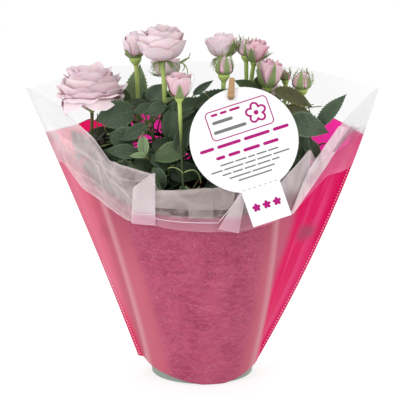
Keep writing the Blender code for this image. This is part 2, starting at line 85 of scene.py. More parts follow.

# %% [markdown]
# Wide, soft lamps stand round a white table. The large one on the left is the strongest: it puts a soft
# sheen on the left half of the film, and leaves the right half deep in colour; the pink film also has a
# paler colour on its left wing, a painted sheen. The room is pure white where the camera sees it, but
# gives the object less light than that, so that colours stay deep.

# %% light
ROOM_SEEN, ROOM_LIGHT = 1.0, 0.66
LAMPS = {  # place, size and watts
    "lamp_left": ((-1.3, -1.2, 0.9), 0.9, 11.5),
    "lamp_right": ((1.4, -1.1, 1.2), 1.0, 7),
    "lamp_top": ((0.1, 0.3, 1.7), 1.2, 8),
}
world = bpy.data.worlds.new("white_room")
world.use_nodes = True
room = world.node_tree
strength = room.nodes.new("ShaderNodeMapRange")
strength.inputs["To Min"].default_value, strength.inputs["To Max"].default_value = ROOM_LIGHT, ROOM_SEEN
room.links.new(room.nodes.new("ShaderNodeLightPath").outputs["Is Camera Ray"], strength.inputs["Value"])
room.links.new(strength.outputs["Result"], room.nodes["Background"].inputs["Strength"])
room.nodes["Background"].inputs["Color"].default_value = (1, 1, 1, 1)
bpy.context.scene.world = world
bpy.context.scene.view_settings.view_transform = "Standard"
for name, (place, size, watts) in LAMPS.items():
    lamp = bpy.data.lights.new(name, "AREA")
    lamp.size, lamp.energy = size, watts
    place_object(name, lamp, place, Vector(place) - TARGET)
print(len(LAMPS), "lamps and a white room")

# %% [markdown]
# # Tools for surfaces
# Every new piece is a surface: a block of points worked out by one formula, as numpy arrays. A block of
# shape (copies, rows, columns, 3) becomes one mesh of many equal sheets, such as all the leaves of a
# plant, so that no piece needs a loop over its points.


# %% blocks of points to meshes
def sheet_faces(copies, rows, cols, wrap=False):
    """Corner numbers of the squares between neighbouring rows and columns, for each copy in turn."""
    row = np.arange(rows - 1)[:, None] * cols
    col = np.arange(cols if wrap else cols - 1)[None, :]
    beside = (col + 1) % cols
    quads = np.stack([row + col, row + beside, row + cols + beside, row + cols + col], -1)
    return (np.arange(copies)[:, None, None] * rows * cols + quads.reshape(1, -1, 4)).reshape(-1, 4)


def make_mesh(name, blocks, wrap=False, values=None):
    """A smooth mesh from sheets of points: UV runs over each sheet, and points carry named values."""
    copies, rows, cols = blocks.shape[:3]
    points, faces = blocks.reshape(-1, 3), sheet_faces(copies, rows, cols, wrap).astype(np.int32)
    mesh = bpy.data.meshes.new(name)
    mesh.vertices.add(len(points))
    mesh.vertices.foreach_set("co", points.ravel())
    mesh.loops.add(faces.size)
    mesh.loops.foreach_set("vertex_index", faces.ravel())
    mesh.polygons.add(len(faces))
    mesh.polygons.foreach_set("loop_start", np.arange(0, faces.size, 4, dtype=np.int32))
    mesh.polygons.foreach_set("use_smooth", np.ones(len(faces), bool))
    mesh.update(calc_edges=True)
    across, along = np.meshgrid(np.linspace(0, 1, cols), np.linspace(0, 1, rows))
    uv = np.broadcast_to(np.stack([across, along], -1), (copies, rows, cols, 2)).reshape(-1, 2)
    mesh.uv_layers.new(name="UVMap").data.foreach_set("uv", uv[faces.ravel()].ravel())
    for key, numbers in (values or {}).items():
        mesh.attributes.new(key, "FLOAT", "POINT").data.foreach_set("value", numbers.ravel())
    mesh.validate()
    return mesh


def sheets(name, blocks, finish, replaces=(), wrap=False, values=None):
    """A piece of the object: it moves with the only body and stands for the solids that it replaces."""
    blocks = np.asarray(blocks, float)
    mesh = make_mesh(name, blocks[None] if blocks.ndim == 3 else blocks, wrap, values)
    mesh.materials.append(finish.material)
    piece = place_object(name, mesh)
    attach(piece, "root")
    if replaces:
        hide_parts(*replaces)
    print(f"{name}: {2 * len(mesh.polygons)} triangles")


# %% [markdown]
# Stems, wires and twigs are tubes: a circle carried along a path. All the tubes of one kind are made at
# once, from an array of paths. The circle closes to a point at both ends, so that a tube has no holes.

# %% tubes and curves
TUBE_HINT = (0.31, 0.95, 0.07)  # a direction that no path follows


def unit(vectors):
    """The same directions with length one."""
    return vectors / np.maximum(np.linalg.norm(vectors, axis=-1, keepdims=True), 1e-12)


def tube_blocks(paths, radii, sides):
    """Round tubes: centre + radius (cos a side + sin a up), with the end rings shrunk to a point."""
    paths = np.asarray(paths, float)
    radii = np.broadcast_to(radii, paths.shape[:-1])
    paths = np.concatenate([paths[..., :1, :], paths, paths[..., -1:, :]], -2)
    radii = np.concatenate([0 * radii[..., :1], radii, 0 * radii[..., -1:]], -1)
    forward = unit(np.gradient(paths, axis=-2))
    side = unit(np.cross(forward, np.broadcast_to(TUBE_HINT, forward.shape)))
    up = np.cross(side, forward)
    for way in (side, up):
        way[..., 0, :], way[..., -1, :] = way[..., 1, :], way[..., -2, :]
    angle = np.linspace(0, 2 * np.pi, sides, endpoint=False)[:, None]
    ring = np.cos(angle) * side[..., None, :] + np.sin(angle) * up[..., None, :]
    return paths[..., None, :] + radii[..., None, None] * ring


def tubes(name, paths, radii, sides, finish, replaces=()):
    """A piece made of equal round tubes. Paths has the shape (copies, points, 3)."""
    sheets(name, tube_blocks(paths, radii, sides), finish, replaces, wrap=True)


def bend(start, control, end, steps):
    """Points of a quadratic curve: (1-t)2 start + 2t(1-t) control + t2 end."""
    start, control, end = (np.asarray(p, float)[..., None, :] for p in (start, control, end))
    t = np.linspace(0, 1, steps)[:, None]
    return (1 - t) ** 2 * start + 2 * t * (1 - t) * control + t**2 * end


def around_z(radius, angle, z):
    """Points at a radius, an angle and a height round the z axis."""
    return np.stack(np.broadcast_arrays(radius * np.cos(angle), radius * np.sin(angle), z), -1)


def circle(count):
    """Even angles once round."""
    return np.linspace(0, 2 * np.pi, count, endpoint=False)


def waves(points, seed, size, count=7):
    """Slow unevenness between about -1 and 1: the mean of a few sines across random directions."""
    rng = np.random.default_rng(seed)
    total = np.zeros(points.shape[:-1])
    for _ in range(count):
        direction = rng.normal(size=points.shape[-1])
        direction *= 2 * np.pi * rng.uniform(0.6, 1.5) / size / np.linalg.norm(direction)
        total += np.sin(points @ direction + rng.uniform(0, 2 * np.pi))
    return total / math.sqrt(count * 2)


def smoothstep(low, high, value):
    """0 below low, 1 above high, and an even S between them."""
    share = np.clip((value - low) / (high - low), 0, 1)
    return share * share * (3 - 2 * share)


print("a straight tube with 12 sides is a block of", tube_blocks([[0, 0, 0], [0, 0, 1]], 0.1, 12).shape)


# %% [markdown]
# # Tools for finishes
# A finish is a few nodes on one Principled shader. The class below keeps each recipe short: it adds a
# node, sets its sockets, joins it to what it is given, and lays one tint over another.


# %% node helper
def as_colour(value):
    """A colour given as 0 to 255 in the usual screen scale becomes a linear one. A socket stays itself."""
    if isinstance(value, bpy.types.NodeSocket):
        return value
    share = np.array(value, float) / 255
    linear = np.where(share <= 0.04045, share / 12.92, ((share + 0.055) / 1.055) ** 2.4)
    return (*linear, 1.0)


class Finish:
    """A material under construction, with the shader as self.shader and the colour so far as self.tint."""

    def __init__(self, name, roughness=0.5, **sockets):
        self.material = bpy.data.materials.new(name)
        self.material.use_nodes = True
        self.tree = self.material.node_tree
        self.shader = self.tree.nodes["Principled BSDF"]
        sockets = {key.replace("_", " "): value for key, value in sockets.items()}
        self.set(self.shader, {"Roughness": roughness, **sockets})

    def set(self, node, values):
        """Joins each socket that is given, and writes each plain value."""
        for key, value in values.items():
            if isinstance(value, bpy.types.NodeSocket):
                self.tree.links.new(value, node.inputs[key])
            else:
                node.inputs[key].default_value = value

    def add(self, kind, values=None, **settings):
        """A node of a kind, with its settings, and its sockets by name or number."""
        node = self.tree.nodes.new("ShaderNode" + kind)
        for key, value in settings.items():
            setattr(node, key, value)
        self.set(node, values or {})
        return node

    def place(self, scale=(1, 1, 1), source="Object"):
        """Coordinates on the piece, stretched."""
        spot = self.add("TexCoord").outputs[source]
        return self.add("Mapping", {"Vector": spot, "Scale": scale}).outputs[0]

    def axis(self, number, source="Object"):
        """One coordinate of the place on the piece."""
        return self.add("SeparateXYZ", {0: self.place(source=source)}).outputs[number]

    def noise(self, stretch, scale, detail=3.0, distortion=0.0, rough=0.5):
        """Noise at the place on the piece, stretched by three factors, or at a socket."""
        at = stretch if isinstance(stretch, bpy.types.NodeSocket) else self.place(stretch)
        values = {"Scale": scale, "Detail": detail, "Distortion": distortion, "Roughness": rough}
        return self.add("TexNoise", {"Vector": at, **values}).outputs["Fac"]

    def math(self, operation, first, second=0.0, clamp=False):
        """One step of arithmetic."""
        return self.add("Math", {0: first, 1: second}, operation=operation, use_clamp=clamp).outputs[0]

    def between(self, value, low, high, out_low=0.0, out_high=1.0):
        """An S-shaped step from one level to another as a value passes from low to high."""
        values = {"Value": value, "From Min": low, "From Max": high, "To Min": out_low, "To Max": out_high}
        return self.add("MapRange", values, interpolation_type="SMOOTHSTEP").outputs["Result"]

    def mix(self, share, first, second):
        """One colour or the other, by a share between 0 and 1."""
        node = self.add("Mix", data_type="RGBA")
        self.set(node, {0: share, 6: as_colour(first), 7: as_colour(second)})
        return node.outputs[2]

    def colour(self, value):
        """The surface's colour, kept so that more can be laid over it."""
        self.tint = as_colour(value)
        self.set(self.shader, {"Base Color": self.tint})
        return self

    def over(self, share, tint):
        """Lays a tint over the colour so far, by a share between 0 and 1."""
        return self.colour(self.mix(share, self.tint, tint))

    def bump(self, height, depth):
        """Fine relief: the height's whole range stands for a depth in metres."""
        relief = self.add("Bump", {"Height": height, "Distance": depth, "Strength": 1.0})
        self.set(self.shader, {"Normal": relief.outputs["Normal"]})
        return self


EVEN = (1, 1, 1)


def speckled(name, roughness, noise, dark, light, spread=None, bump=None, **sockets):
    """Two near tints by one noise (stretch, scale and so on), which may be spread and give relief."""
    finish = Finish(name, roughness, **sockets)
    value = finish.noise(*noise)
    finish.colour(finish.mix(finish.between(value, *spread) if spread else value, dark, light))
    return finish.bump(value, bump) if bump else finish


print("mid grey in linear light:", round(float(as_colour((128, 128, 128))[0]), 3))


# %% [markdown]
# The table is one large square. It glows a little, as a lit acrylic sheet does, so that it stays white
# far from the lamps. It stands in the scene, but isn't attached to the body, so it isn't a part of the
# object.

# %% table
TABLE_SIZE = 4.0
edge = np.array([-TABLE_SIZE, TABLE_SIZE])
table_points = np.stack([*np.meshgrid(edge, edge), np.full((2, 2), -0.0004)], -1)
table = place_object("table", make_mesh("table", table_points[None]))
glow = {"Emission_Color": (1, 1, 1, 1), "Emission_Strength": 0.68}
white = speckled("white_table", 0.6, (EVEN, 300), (174, 174, 174), (182, 182, 182), bump=0.00005, **glow)
table.data.materials.append(white.material)
print("the table is", 2 * TABLE_SIZE, "m wide")

# %% [markdown]
# # Pot and soil
# The pot is thin moulded plastic, grey with a little green. Its solid already has the right shape, so
# it only gets its finish, which is two near tints by a stretched noise, as on plastic that has flowed
# into a mould. The solid has no foot ring, so one is turned: a profile carried round the axis.

# %% pot
pot_plastic = speckled("pot_plastic", 0.42, ((1, 1, 0.25), 30, 4), (118, 128, 118), (152, 160, 150))
pot_plastic.bump(pot_plastic.noise(EVEN, 900, 2), 0.00008)
FOOT = [(43, 0.3), (48.2, 0.3), (48.6, 0.8), (48.9, 9), (48.4, 10), (44, 10.5)]  # radius and height in mm


def finish_solid(node, finish):
    """A solid of the frame keeps its shape and gets a new finish."""
    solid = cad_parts[node]
    solid.data.materials.clear()
    solid.data.materials.append(finish.material)


finish_solid("pot", pot_plastic)
foot_radius, foot_height = np.array(FOOT).T[:, :, None] * MM
sheets("pot_foot", around_z(foot_radius, circle(96), foot_height), pot_plastic, wrap=True)

# %% [markdown]
# ## Soil
# The peat's top is uneven, with crumbs and a few white grains of perlite, which show when one looks
# down between the leaves. A displaced plane would look right from above, but the peat is a closed
# solid. So a turned surface takes its place, up the side and then over the lumps to the middle.

# %% soil
peat = speckled("peat", 0.95, (EVEN, 260, 5, 0.4), (38, 27, 20), (86, 64, 47), bump=0.0012)
perlite = speckled("perlite", 0.9, (EVEN, 700), (205, 203, 196), (240, 240, 236), bump=0.0003)
soil_low, soil_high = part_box("soil")
SOIL_RADIUS = soil_high.x - 0.2 * MM
SOIL_FALL, SOIL_UNEVEN, CRUMB_ROOM, CRUMB_RISE = 3 * MM, 1.1 * MM, 3 * MM, 0.2 * MM


def soil_height(points):
    """The top of the soil: flat, falling a little towards the pot, with lumps."""
    far = np.hypot(points[..., 0], points[..., 1]) / SOIL_RADIUS
    lumps = waves(points, 3, 0.012) + 0.6 * waves(points, 4, 0.005)
    return soil_high.z - SOIL_FALL * smoothstep(0.6, 1.0, far) - SOIL_UNEVEN * (0.6 + 0.5 * lumps)


def make_soil():
    """A turned surface: up the side from the bottom, then over the uneven top to the middle."""
    radius = np.concatenate([[0, 0.74, 0.985], np.linspace(0.995, 0, 30)])[:, None] * SOIL_RADIUS
    points = around_z(radius, circle(72), 0.0)
    points[..., 2] = soil_height(points[..., :2])
    points[0:2, :, 2], points[2, :, 2] = soil_low.z, soil_low.z + 0.94 * (soil_high.z - soil_low.z)
    sheets("soil_surface", points, peat, ["soil"], wrap=True)


def make_crumbs(name, count, smallest, largest, finish, seed):
    """Small uneven balls of five rings by six points on the soil, each with its own stretch."""
    rng = np.random.default_rng(seed)
    radius = (SOIL_RADIUS - CRUMB_ROOM) * np.sqrt(rng.uniform(0, 1, count))
    places = around_z(radius, rng.uniform(0, 2 * np.pi, count), 0.0)
    places[:, 2] = soil_height(places[:, :2]) + CRUMB_RISE
    sizes = rng.uniform(smallest, largest, count)[:, None, None, None] * MM
    polar = np.linspace(0, np.pi, 5)[:, None]
    ball = around_z(np.sin(polar), circle(6), -np.cos(polar))
    stretch = np.random.default_rng(seed).uniform(0.6, 1.25, (count, 1, 1, 3))
    sheets(name, places[:, None, None] + sizes * ball * stretch, finish, wrap=True)


make_soil()
make_crumbs("soil_crumbs", 420, 0.5, 1.5, peat, 21)
make_crumbs("soil_perlite", 60, 0.5, 1.1, perlite, 22)

# %% [markdown]
# # The shape of the sleeve
# The sleeve is a flat bag with two welded side seams. With a round pot inside, each panel bulges: its
# section is a part of a circle in the middle, then a straight wing that leaves the circle without a
# corner, then a narrow welded strip. A point of a panel is named by its height and its share of the way
# from the middle to a seam, so that the columns of every film run up the bag like its own side edges.
# The bag could be a cloth simulation, but a formula gives the same film each time, and leaves, card and
# collar can ask it where the film is.

# %% section of the sleeve
SEAM_LEFT, SEAM_RIGHT = (56.7 * MM, 0.362, 0.128), (47.9 * MM, 0.565, -0.488)
ROUND_MIDDLE = (47.7 * MM, 0.33, -0.66)
FOOT_WIDER, SEAM_STRIP, LEAST_WING = 2.4 * MM, 5 * MM, 1.02
HEM_HEIGHT, HEM_RISE, HEM_TILT = 0.4 * MM, 13.5 * MM, 7 * MM
FRONT, BACK = -1, 1


def quadratic(curve, height):
    """A start value, a slope and a bend per metre, read at a height."""
    start, slope, bend = curve
    return start + slope * height + bend * height**2


def seam_x(side, height):
    """Distance of the left seam (side below 0) or the right seam from the middle."""
    return np.where(side < 0, quadratic(SEAM_LEFT, height), quadratic(SEAM_RIGHT, height))


def middle_radius(height):
    """Radius of the round middle: a quadratic, and a little wider where the bag closes around the foot."""
    return quadratic(ROUND_MIDDLE, height) + FOOT_WIDER * (1 - smoothstep(0, 40 * MM, height))


def depth(x, height, offset=0.0):
    """How far out the film lies at x: the circle's sqrt(r2 - x2), then the tangent (r - x cos a) / sin a."""
    radius = middle_radius(height)
    cosine = radius / np.maximum(seam_x(x, height) - SEAM_STRIP, LEAST_WING * radius)
    out = radius + offset
    on_circle = np.sqrt(np.maximum(out**2 - x**2, 0))
    on_wing = (out - np.abs(x) * cosine) / np.sqrt(1 - cosine**2)
    return np.maximum(np.where(np.abs(x) < out * cosine, on_circle, on_wing), offset)


def on_sleeve(share, height, offset, facing):
    """Points of a film at a share of the width, a height and an offset outwards."""
    x = share * seam_x(share, height)
    return np.stack([x, facing * depth(x, height, offset), height], -1)


print("at 200 mm the seams are", round(1000 * float(seam_x(-1, 0.2) + seam_x(1, 0.2))), "mm apart")

# %% [markdown]
# The films end at different lines: the pink, the neckline, the tall back edge and the collar's hem. Each
# is drawn as a few places on the bag. Corners of soft film are never sharp, so a curve takes
# the mean over a short stretch of its straight runs.

# %% edges of the films
def edge_curve(points, soft=0.012):
    """A height for each share of the width: straight runs between points (x, z), with rounded corners."""
    x, z = np.array(points, float).T * MM
    shares = x / seam_x(x, z)
    return lambda share: sum(np.interp(share + step, shares, z) for step in np.linspace(-soft, soft, 5)) / 5


def hem(share):
    """The straight lower edge climbs towards the seams once the bag is round."""
    return HEM_HEIGHT + np.maximum(HEM_RISE * share**2 - HEM_TILT * share * (1 - share**2), 0)


def panel(low, high, columns, rows, reach=1.0):
    """Shares of the width and heights for a grid of points between two edges."""
    share = np.linspace(-reach, reach, columns)[None, :]
    height = low(share) + np.linspace(0, 1, rows)[:, None] * (high(share) - low(share))
    return share + 0 * height, height


neckline = edge_curve([(-163, 274), (-134, 260), (-117, 245), (-102, 234), (-93, 223), (-84, 211), (-44, 205),
                       (-41, 191), (-11, 191.5), (34, 198), (82, 203), (99, 222), (105, 210), (132, 245),
                       (163, 274)])
collar_hem = edge_curve([(-131, 205), (-113, 182), (-95, 173), (-87, 167), (-69, 159), (-52, 158), (-2, 155),
                         (34, 154), (62, 157), (86, 166), (109, 187), (116, 194), (133, 195), (143, 201)])
pink_top_front = edge_curve([(-156, 231), (-126, 220), (-98, 186), (-63, 171), (-2, 169), (60, 170),
                             (98, 184), (125, 215), (152, 230)])
pink_top_back = edge_curve([(-156, 231), (-121, 236), (-108, 241), (-96, 235), (-82, 241), (0, 242),
                            (104, 236), (125, 243), (136, 238), (152, 230)])
back_edge = edge_curve([(-164, 274), (-131, 282), (-95, 289), (0, 290), (95, 289), (122, 284), (164, 274)])
print("the neckline's lowest point is", round(1000 * float(neckline(np.linspace(-1, 1, 400)).min())), "mm up")

# %% [markdown]
# # Pink fibre film
# The lower bag is clear film with a layer of long pink paper fibres, which lie mostly across the bag, in
# curls. Over the pot they look dusky. In the wings light comes through and the pink glows. Where the
# film is bent over the edge of the pot, a crease runs up each side: a pale band along it is a painted
# highlight, and a dusky band just outside it is painted shade. A smooth band lies between the crease and
# the fibres. The left wing is painted paler than the right, as a sheen from the lamp on the left. The
# distance from the crease, which is a quadratic of the height, tells the bands apart, and the share of
# the way to the seam carries the streaks of the wings, which are painted highlights of soft folds.

# %% pink film
CREASE_LEFT, CREASE_RIGHT = (49.5 * MM, 0.18, 0.45), (46.0 * MM, 0.24, -0.6)
CREASE_HIGHLIGHT_WIDTH = 6.4 * MM
SMOOTH_BAND = (-27 * MM, -12 * MM)  # where the fibres fade out, from the crease inwards
NARROWER_RIGHT = 8 * MM
DARK_SPOTS = (((-90 * MM, 140 * MM), 12 * MM, 0.3), ((99 * MM, 140 * MM), 14 * MM, 0.75))


def make_pink_film():
    """The fibres lie over a smooth band, the wings over both, and the crease's painted highlight on top."""
    film = Finish("pink_fibre_film", 0.45, Specular_IOR_Level=0.08)
    do, mix, between = film.math, film.mix, film.between
    x, z = film.axis(0), film.axis(2)
    on_left, side = do("LESS_THAN", x), do("ABSOLUTE", x)

    def either_side(*curves):
        """One quadratic of the height on the left half of the bag and the other on the right half."""
        left, right = (do("ADD", do("MULTIPLY", do("ADD", do("MULTIPLY", z, bend), slope), z), start)
                       for start, slope, bend in curves)
        return film.add("Mix", {0: on_left, 2: right, 3: left}, data_type="FLOAT").outputs[0]

    def lines(scale, stretch, width, distortion):
        """Thin curly lines: where stretched noise crosses its middle value, a line runs."""
        value = film.noise((1, 1, stretch), scale, 2, distortion)
        return between(do("ABSOLUTE", do("SUBTRACT", value, 0.5)), 0.0, width, 1.0, 0.0)

    beyond = do("SUBTRACT", side, either_side(CREASE_LEFT, CREASE_RIGHT))
    share = do("DIVIDE", side, either_side(SEAM_LEFT, SEAM_RIGHT))
    # the middle: threads, dark and light, on a dusky ground
    cloud = between(film.noise((1, 1, 0.8), 42, 3), 0.35, 0.65)
    threads = film.noise((1, 1, 2.6), 75, 3, 1.4, 0.6)
    light = do("MAXIMUM", lines(80, 3.0, 0.034, 2.2), lines(55, 2.4, 0.018, 3.0))
    middle = mix(between(threads, 0.30, 0.70), (149, 57, 86), (175, 75, 105))
    middle = mix(do("MULTIPLY", cloud, 0.45), middle, (186, 87, 115))
    middle = mix(between(z, 0.11, 0.17, 0.0, 0.5), middle, (150, 60, 92))
    middle = mix(do("MULTIPLY", light, 0.28), middle, (216, 144, 168))
    smooth = mix(between(z, 0.10, 0.17), (188, 92, 112), (166, 78, 98))
    band = do("SUBTRACT", do("ADD", do("MULTIPLY", on_left, NARROWER_RIGHT), beyond), NARROWER_RIGHT)
    fibres = between(band, *SMOOTH_BAND, 1.0, 0.0)
    film.colour(mix(fibres, smooth, middle))
    # the wings: painted highlight streaks that run up the bag like its seams
    along = film.add("CombineXYZ", {0: do("MULTIPLY", share, 6.0), 2: do("MULTIPLY", z, 2.5)}).outputs[0]
    highlight_streak = film.noise(along, 2.2, 2, 0.4)
    # the left wing is painted paler than the right, as a sheen from the lamp on the left
    left_wing = mix(between(highlight_streak, 0.40, 0.62), (200, 82, 108), (203, 98, 120))
    # painted shade: a dusky band just outside the crease on the left
    left_wing = mix(between(beyond, 0.005, 0.014, 0.8, 0.0), left_wing, (176, 84, 102))
    edge_pink = mix(between(z, 0.03, 0.09), (218, 52, 100), (216, 122, 144))
    left_wing = mix(between(share, 0.89, 0.96, 0.0, 0.8), left_wing, edge_pink)
    # the right wing is deep crimson with paler painted highlight streaks, and painted shade beside the crease
    right_wing = mix(between(highlight_streak, 0.48, 0.64, 0.0, 0.7), (212, 0, 88), (220, 60, 120))
    beside = do("SUBTRACT", beyond, between(z, 0.07, 0.17, 0.0, 0.018))
    right_wing = mix(between(beside, -0.006, 0.005, 0.85, 0.0), right_wing, (180, 92, 114))
    wing = mix(on_left, right_wing, left_wing)
    # two darker spots in the wings, with ragged edges
    ragged = do("MULTIPLY", film.noise(EVEN, 70, 3), 0.016)
    for (spot_x, spot_z), size, dark in DARK_SPOTS:
        places = {0: film.place((1, 0, 1)), 1: (spot_x, 0, spot_z)}
        spot = film.add("VectorMath", places, operation="DISTANCE")
        away = do("ADD", spot.outputs["Value"], ragged)
        wing = mix(between(away, 0.6 * size, 1.6 * size, dark, 0.0), wing, (142, 70, 94))
    film.over(between(beyond, -0.003, 0.004), wing)
    # painted highlight: a pale band along the crease, where the film bends over the pot
    off_crease = do("MAXIMUM", do("MULTIPLY", beyond, 1.7), do("MULTIPLY", beyond, -1))
    film.over(between(off_crease, 0.0, CREASE_HIGHLIGHT_WIDTH, 0.64, 0.0), (204, 146, 154))
    return film.bump(do("MULTIPLY", do("ADD", light, threads), fibres), 0.00006)


pink_film = make_pink_film()
finish_solid("liner", pink_film)
print("the pink film and the paper liner share", len(pink_film.tree.nodes), "nodes")

# %% [markdown]
# The film itself is a thin closed sheet. Its wings are never quite flat: soft folds run up them from
# the pot to the seams. They are waves along the width, faded out on the pot and at the welds.

# %% pink panels
FILM_THICK, HALF_GAP, FOLD_HEIGHT = 0.4 * MM, 0.15 * MM, 1.6 * MM


def soft_folds(share, height, seed):
    """Outward waves in the wings: they depend on the width far more than on the height."""
    beside = np.abs(share * seam_x(share, height)) / middle_radius(height)
    in_wing = smoothstep(0.62, 0.95, beside) * (1 - smoothstep(0.86, 0.97, np.abs(share)))
    wave = 0.5 + 0.5 * waves(np.stack([share * 0.12, height * 0.1], -1), seed, 0.03)
    return FOLD_HEIGHT * in_wing * smoothstep(0.0, 0.12, height) * np.clip(wave, 0, 1)


def make_pink_panel(name, top, facing, seed):
    """A closed thin sheet: each column's ring runs up the outside and down the inside."""
    share, height = panel(hem, top, 181, 70)
    offset = HALF_GAP + soft_folds(share, height, seed)
    inner, outer = (on_sleeve(share, height, offset + thick, facing) for thick in (0, FILM_THICK))
    middle = (inner + outer) / 2
    middle = np.concatenate([middle, middle[::-1]])
    rings = np.concatenate([middle[:, :1], np.concatenate([outer, inner[::-1]]), middle[:, -1:]], 1)
    block = np.swapaxes(rings, 0, 1)
    sheets(name + "_pink", block[::-1] if facing == BACK else block, pink_film, [name], wrap=True)


make_pink_panel("sleeve_front", pink_top_front, FRONT, 31)
make_pink_panel("sleeve_back", pink_top_back, BACK, 32)

# %% [markdown]
# The back panel is lit from behind, so its inside glows wherever it shows between the leaves: hot pink
# in the middle, crimson towards the left seam. It is one more thin sheet, a little inside the panel,
# and it gives out some of the light that really comes through the film.

# %% lit inside of the back panel
LIT_LOW, LIT_INSET, LIT_REACH = 178 * MM, 0.8 * MM, 0.93
lit_film = Finish("lit_film", 0.5, Specular_IOR_Level=0.2, Emission_Strength=0.72)
lit_film.colour(lit_film.mix(lit_film.noise((1, 1, 0.5), 45, 3), (226, 22, 128), (240, 64, 176)))
lit_film.over(lit_film.between(lit_film.axis(0), -0.092, -0.070, 0.9, 0.0), (222, 16, 84))
lit_film.set(lit_film.shader, {"Emission Color": lit_film.tint})
share, height = panel(lambda share: LIT_LOW, lambda share: pink_top_back(share) - 0.5 * MM, 90, 30, LIT_REACH)
inset = LIT_INSET * (1 - smoothstep(0.80, LIT_REACH, np.abs(share))) + 0.05 * MM
points = on_sleeve(share, height, HALF_GAP + soft_folds(share, height, 32) - inset, BACK)
sheets("sleeve_back_lit", points, lit_film)

# %% [markdown]
# # Clear film
# Above the pink the bag is bare film. It hardly shows against a white wall, so what makes it visible
# is its faint grey, its gloss and its wrinkles. A clear sheet gets one plain alpha value and low
# roughness. The wrinkles are real relief: sharp creases are the valleys of folded waves, where the
# size of a wave is taken, so that its zero line becomes a crease.

# %% clear panels
PUFF_HEIGHT = 0.9 * MM
clear_film = speckled("clear_film", 0.16, (EVEN, 30, 3), (172, 172, 176), (206, 206, 210), Alpha=0.13)


def creases(points, seed, size):
    """Soft puffs between 0 and 1: the size of a slow wave, which turns its zero lines into creases."""
    return np.clip(np.abs(waves(points, seed, size)), 0, 1)


def make_clear_panel(name, low, high, facing, seed):
    """A single sheet between two edges, with soft folds and puffs that fade out at the welds."""
    share, height = panel(low, high, 161, 30)
    ripple = creases(np.stack([share * 0.15, height * 0.4], -1), seed, 0.07)
    ripple = PUFF_HEIGHT * ripple * (1 - smoothstep(0.9, 0.985, np.abs(share)))
    offset = HALF_GAP + FILM_THICK / 2 + soft_folds(share, height, seed - 50) + ripple
    sheets(name, on_sleeve(share, height, offset, facing), clear_film)


make_clear_panel("sleeve_front_clear", pink_top_front, neckline, FRONT, 81)
make_clear_panel("sleeve_back_clear", pink_top_back, back_edge, BACK, 82)

# %% [markdown]
# Both side edges are closed by a hot bar that leaves rows of little pale dents. Each dent is a flat
# dome of a few faces: rings of shrinking radius round a point on the film, pushed outwards.

# %% weld dots
DOT_LOW, DOT_HIGH = 16 * MM, (108 * MM, 212 * MM)  # where the rows start, and end left and right
DOT_PITCH, DOT_RADIUS, DOT_RISE, DOT_INSET = 2.7 * MM, 0.62 * MM, 0.22 * MM, 2.1 * MM
weld = speckled("weld_dots", 0.3, (EVEN, 500), (240, 150, 178), (252, 214, 224))
rows = [np.arange(DOT_LOW, high, DOT_PITCH) for high in DOT_HIGH] * 2
height = np.concatenate(rows)
side = np.repeat([-1.0, 1.0, -1.0, 1.0], [len(row) for row in rows])
facing = np.repeat([FRONT, BACK], len(height) // 2)
level = HALF_GAP + FILM_THICK + 0.02 * MM
centre = np.stack([side * (seam_x(side, height) - DOT_INSET), facing * level, height], -1)[:, None, None]
angle, outward = circle(6), facing[:, None, None, None]
ring = np.stack([np.cos(angle), 0 * angle, np.sin(angle)], -1) * np.where(outward > 0, [-1, 1, 1], [1, 1, 1])
size, rise = (np.array(shares)[:, None, None] for shares in ((1.0, 0.7, 0.0), (0.0, 0.8, 1.0)))
dots = centre + DOT_RADIUS * size * ring + DOT_RISE * rise * outward * np.array([0, 1, 0])
sheets("sleeve_weld_dots", dots, weld, wrap=True)

# %% [markdown]
# # Where the card leans
# A round card with a small tab leans on the collar. Its plane is read from its own solid, because film
# and leaves must stay behind it. A point that lies before the card is moved back along its normal, and
# this fades out a little way beyond the card's edge, so that a sheet isn't torn there.

# %% card plane
TAG_LEAN, TAG_TURN = math.radians(23), math.radians(18.5)
ACROSS, UPHILL = np.array((1.0, 0.0, 0.0)), np.array((0.0, math.sin(TAG_LEAN), math.cos(TAG_LEAN)))
TAG_RIGHT = math.cos(TAG_TURN) * ACROSS + math.sin(TAG_TURN) * UPHILL
TAG_UP = math.cos(TAG_TURN) * UPHILL - math.sin(TAG_TURN) * ACROSS
TAG_OUT = np.array((0.0, -math.cos(TAG_LEAN), math.sin(TAG_LEAN)))
TAG_CENTRE = np.array((37.5, -72.0, 237.0)) * MM
TAG_RADIUS, TAB_HALF, TAB_END = 49 * MM, 18 * MM, 78.5 * MM
EDGE_FADE = (2 * MM, 9 * MM)


def node_points(node):
    """All corner points of a solid of the frame."""
    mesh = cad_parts[node].data
    points = np.zeros(len(mesh.vertices) * 3)
    mesh.vertices.foreach_get("co", points)
    return points.reshape(-1, 3)


tag_levels = node_points("tag") @ TAG_OUT
tag_front = TAG_CENTRE + TAG_OUT * (tag_levels.max() - TAG_CENTRE @ TAG_OUT)


def behind_card(points, room_left):
    """Points before the card, or nearer to its back than the room left, are moved back along its normal."""
    past = points @ TAG_OUT - (tag_levels.min() - room_left)
    right, up = (points - tag_front) @ TAG_RIGHT, (points - tag_front) @ TAG_UP
    from_disc = np.hypot(right, up) - TAG_RADIUS
    from_tab = np.maximum(np.abs(right) - TAB_HALF, np.maximum(up, -TAB_END - up))
    share = 1 - smoothstep(*EDGE_FADE, np.minimum(from_disc, from_tab))
    return points - TAG_OUT * (np.maximum(past, 0) * share)[..., None]


print("card plane", np.round(tag_front * 1000, 1))
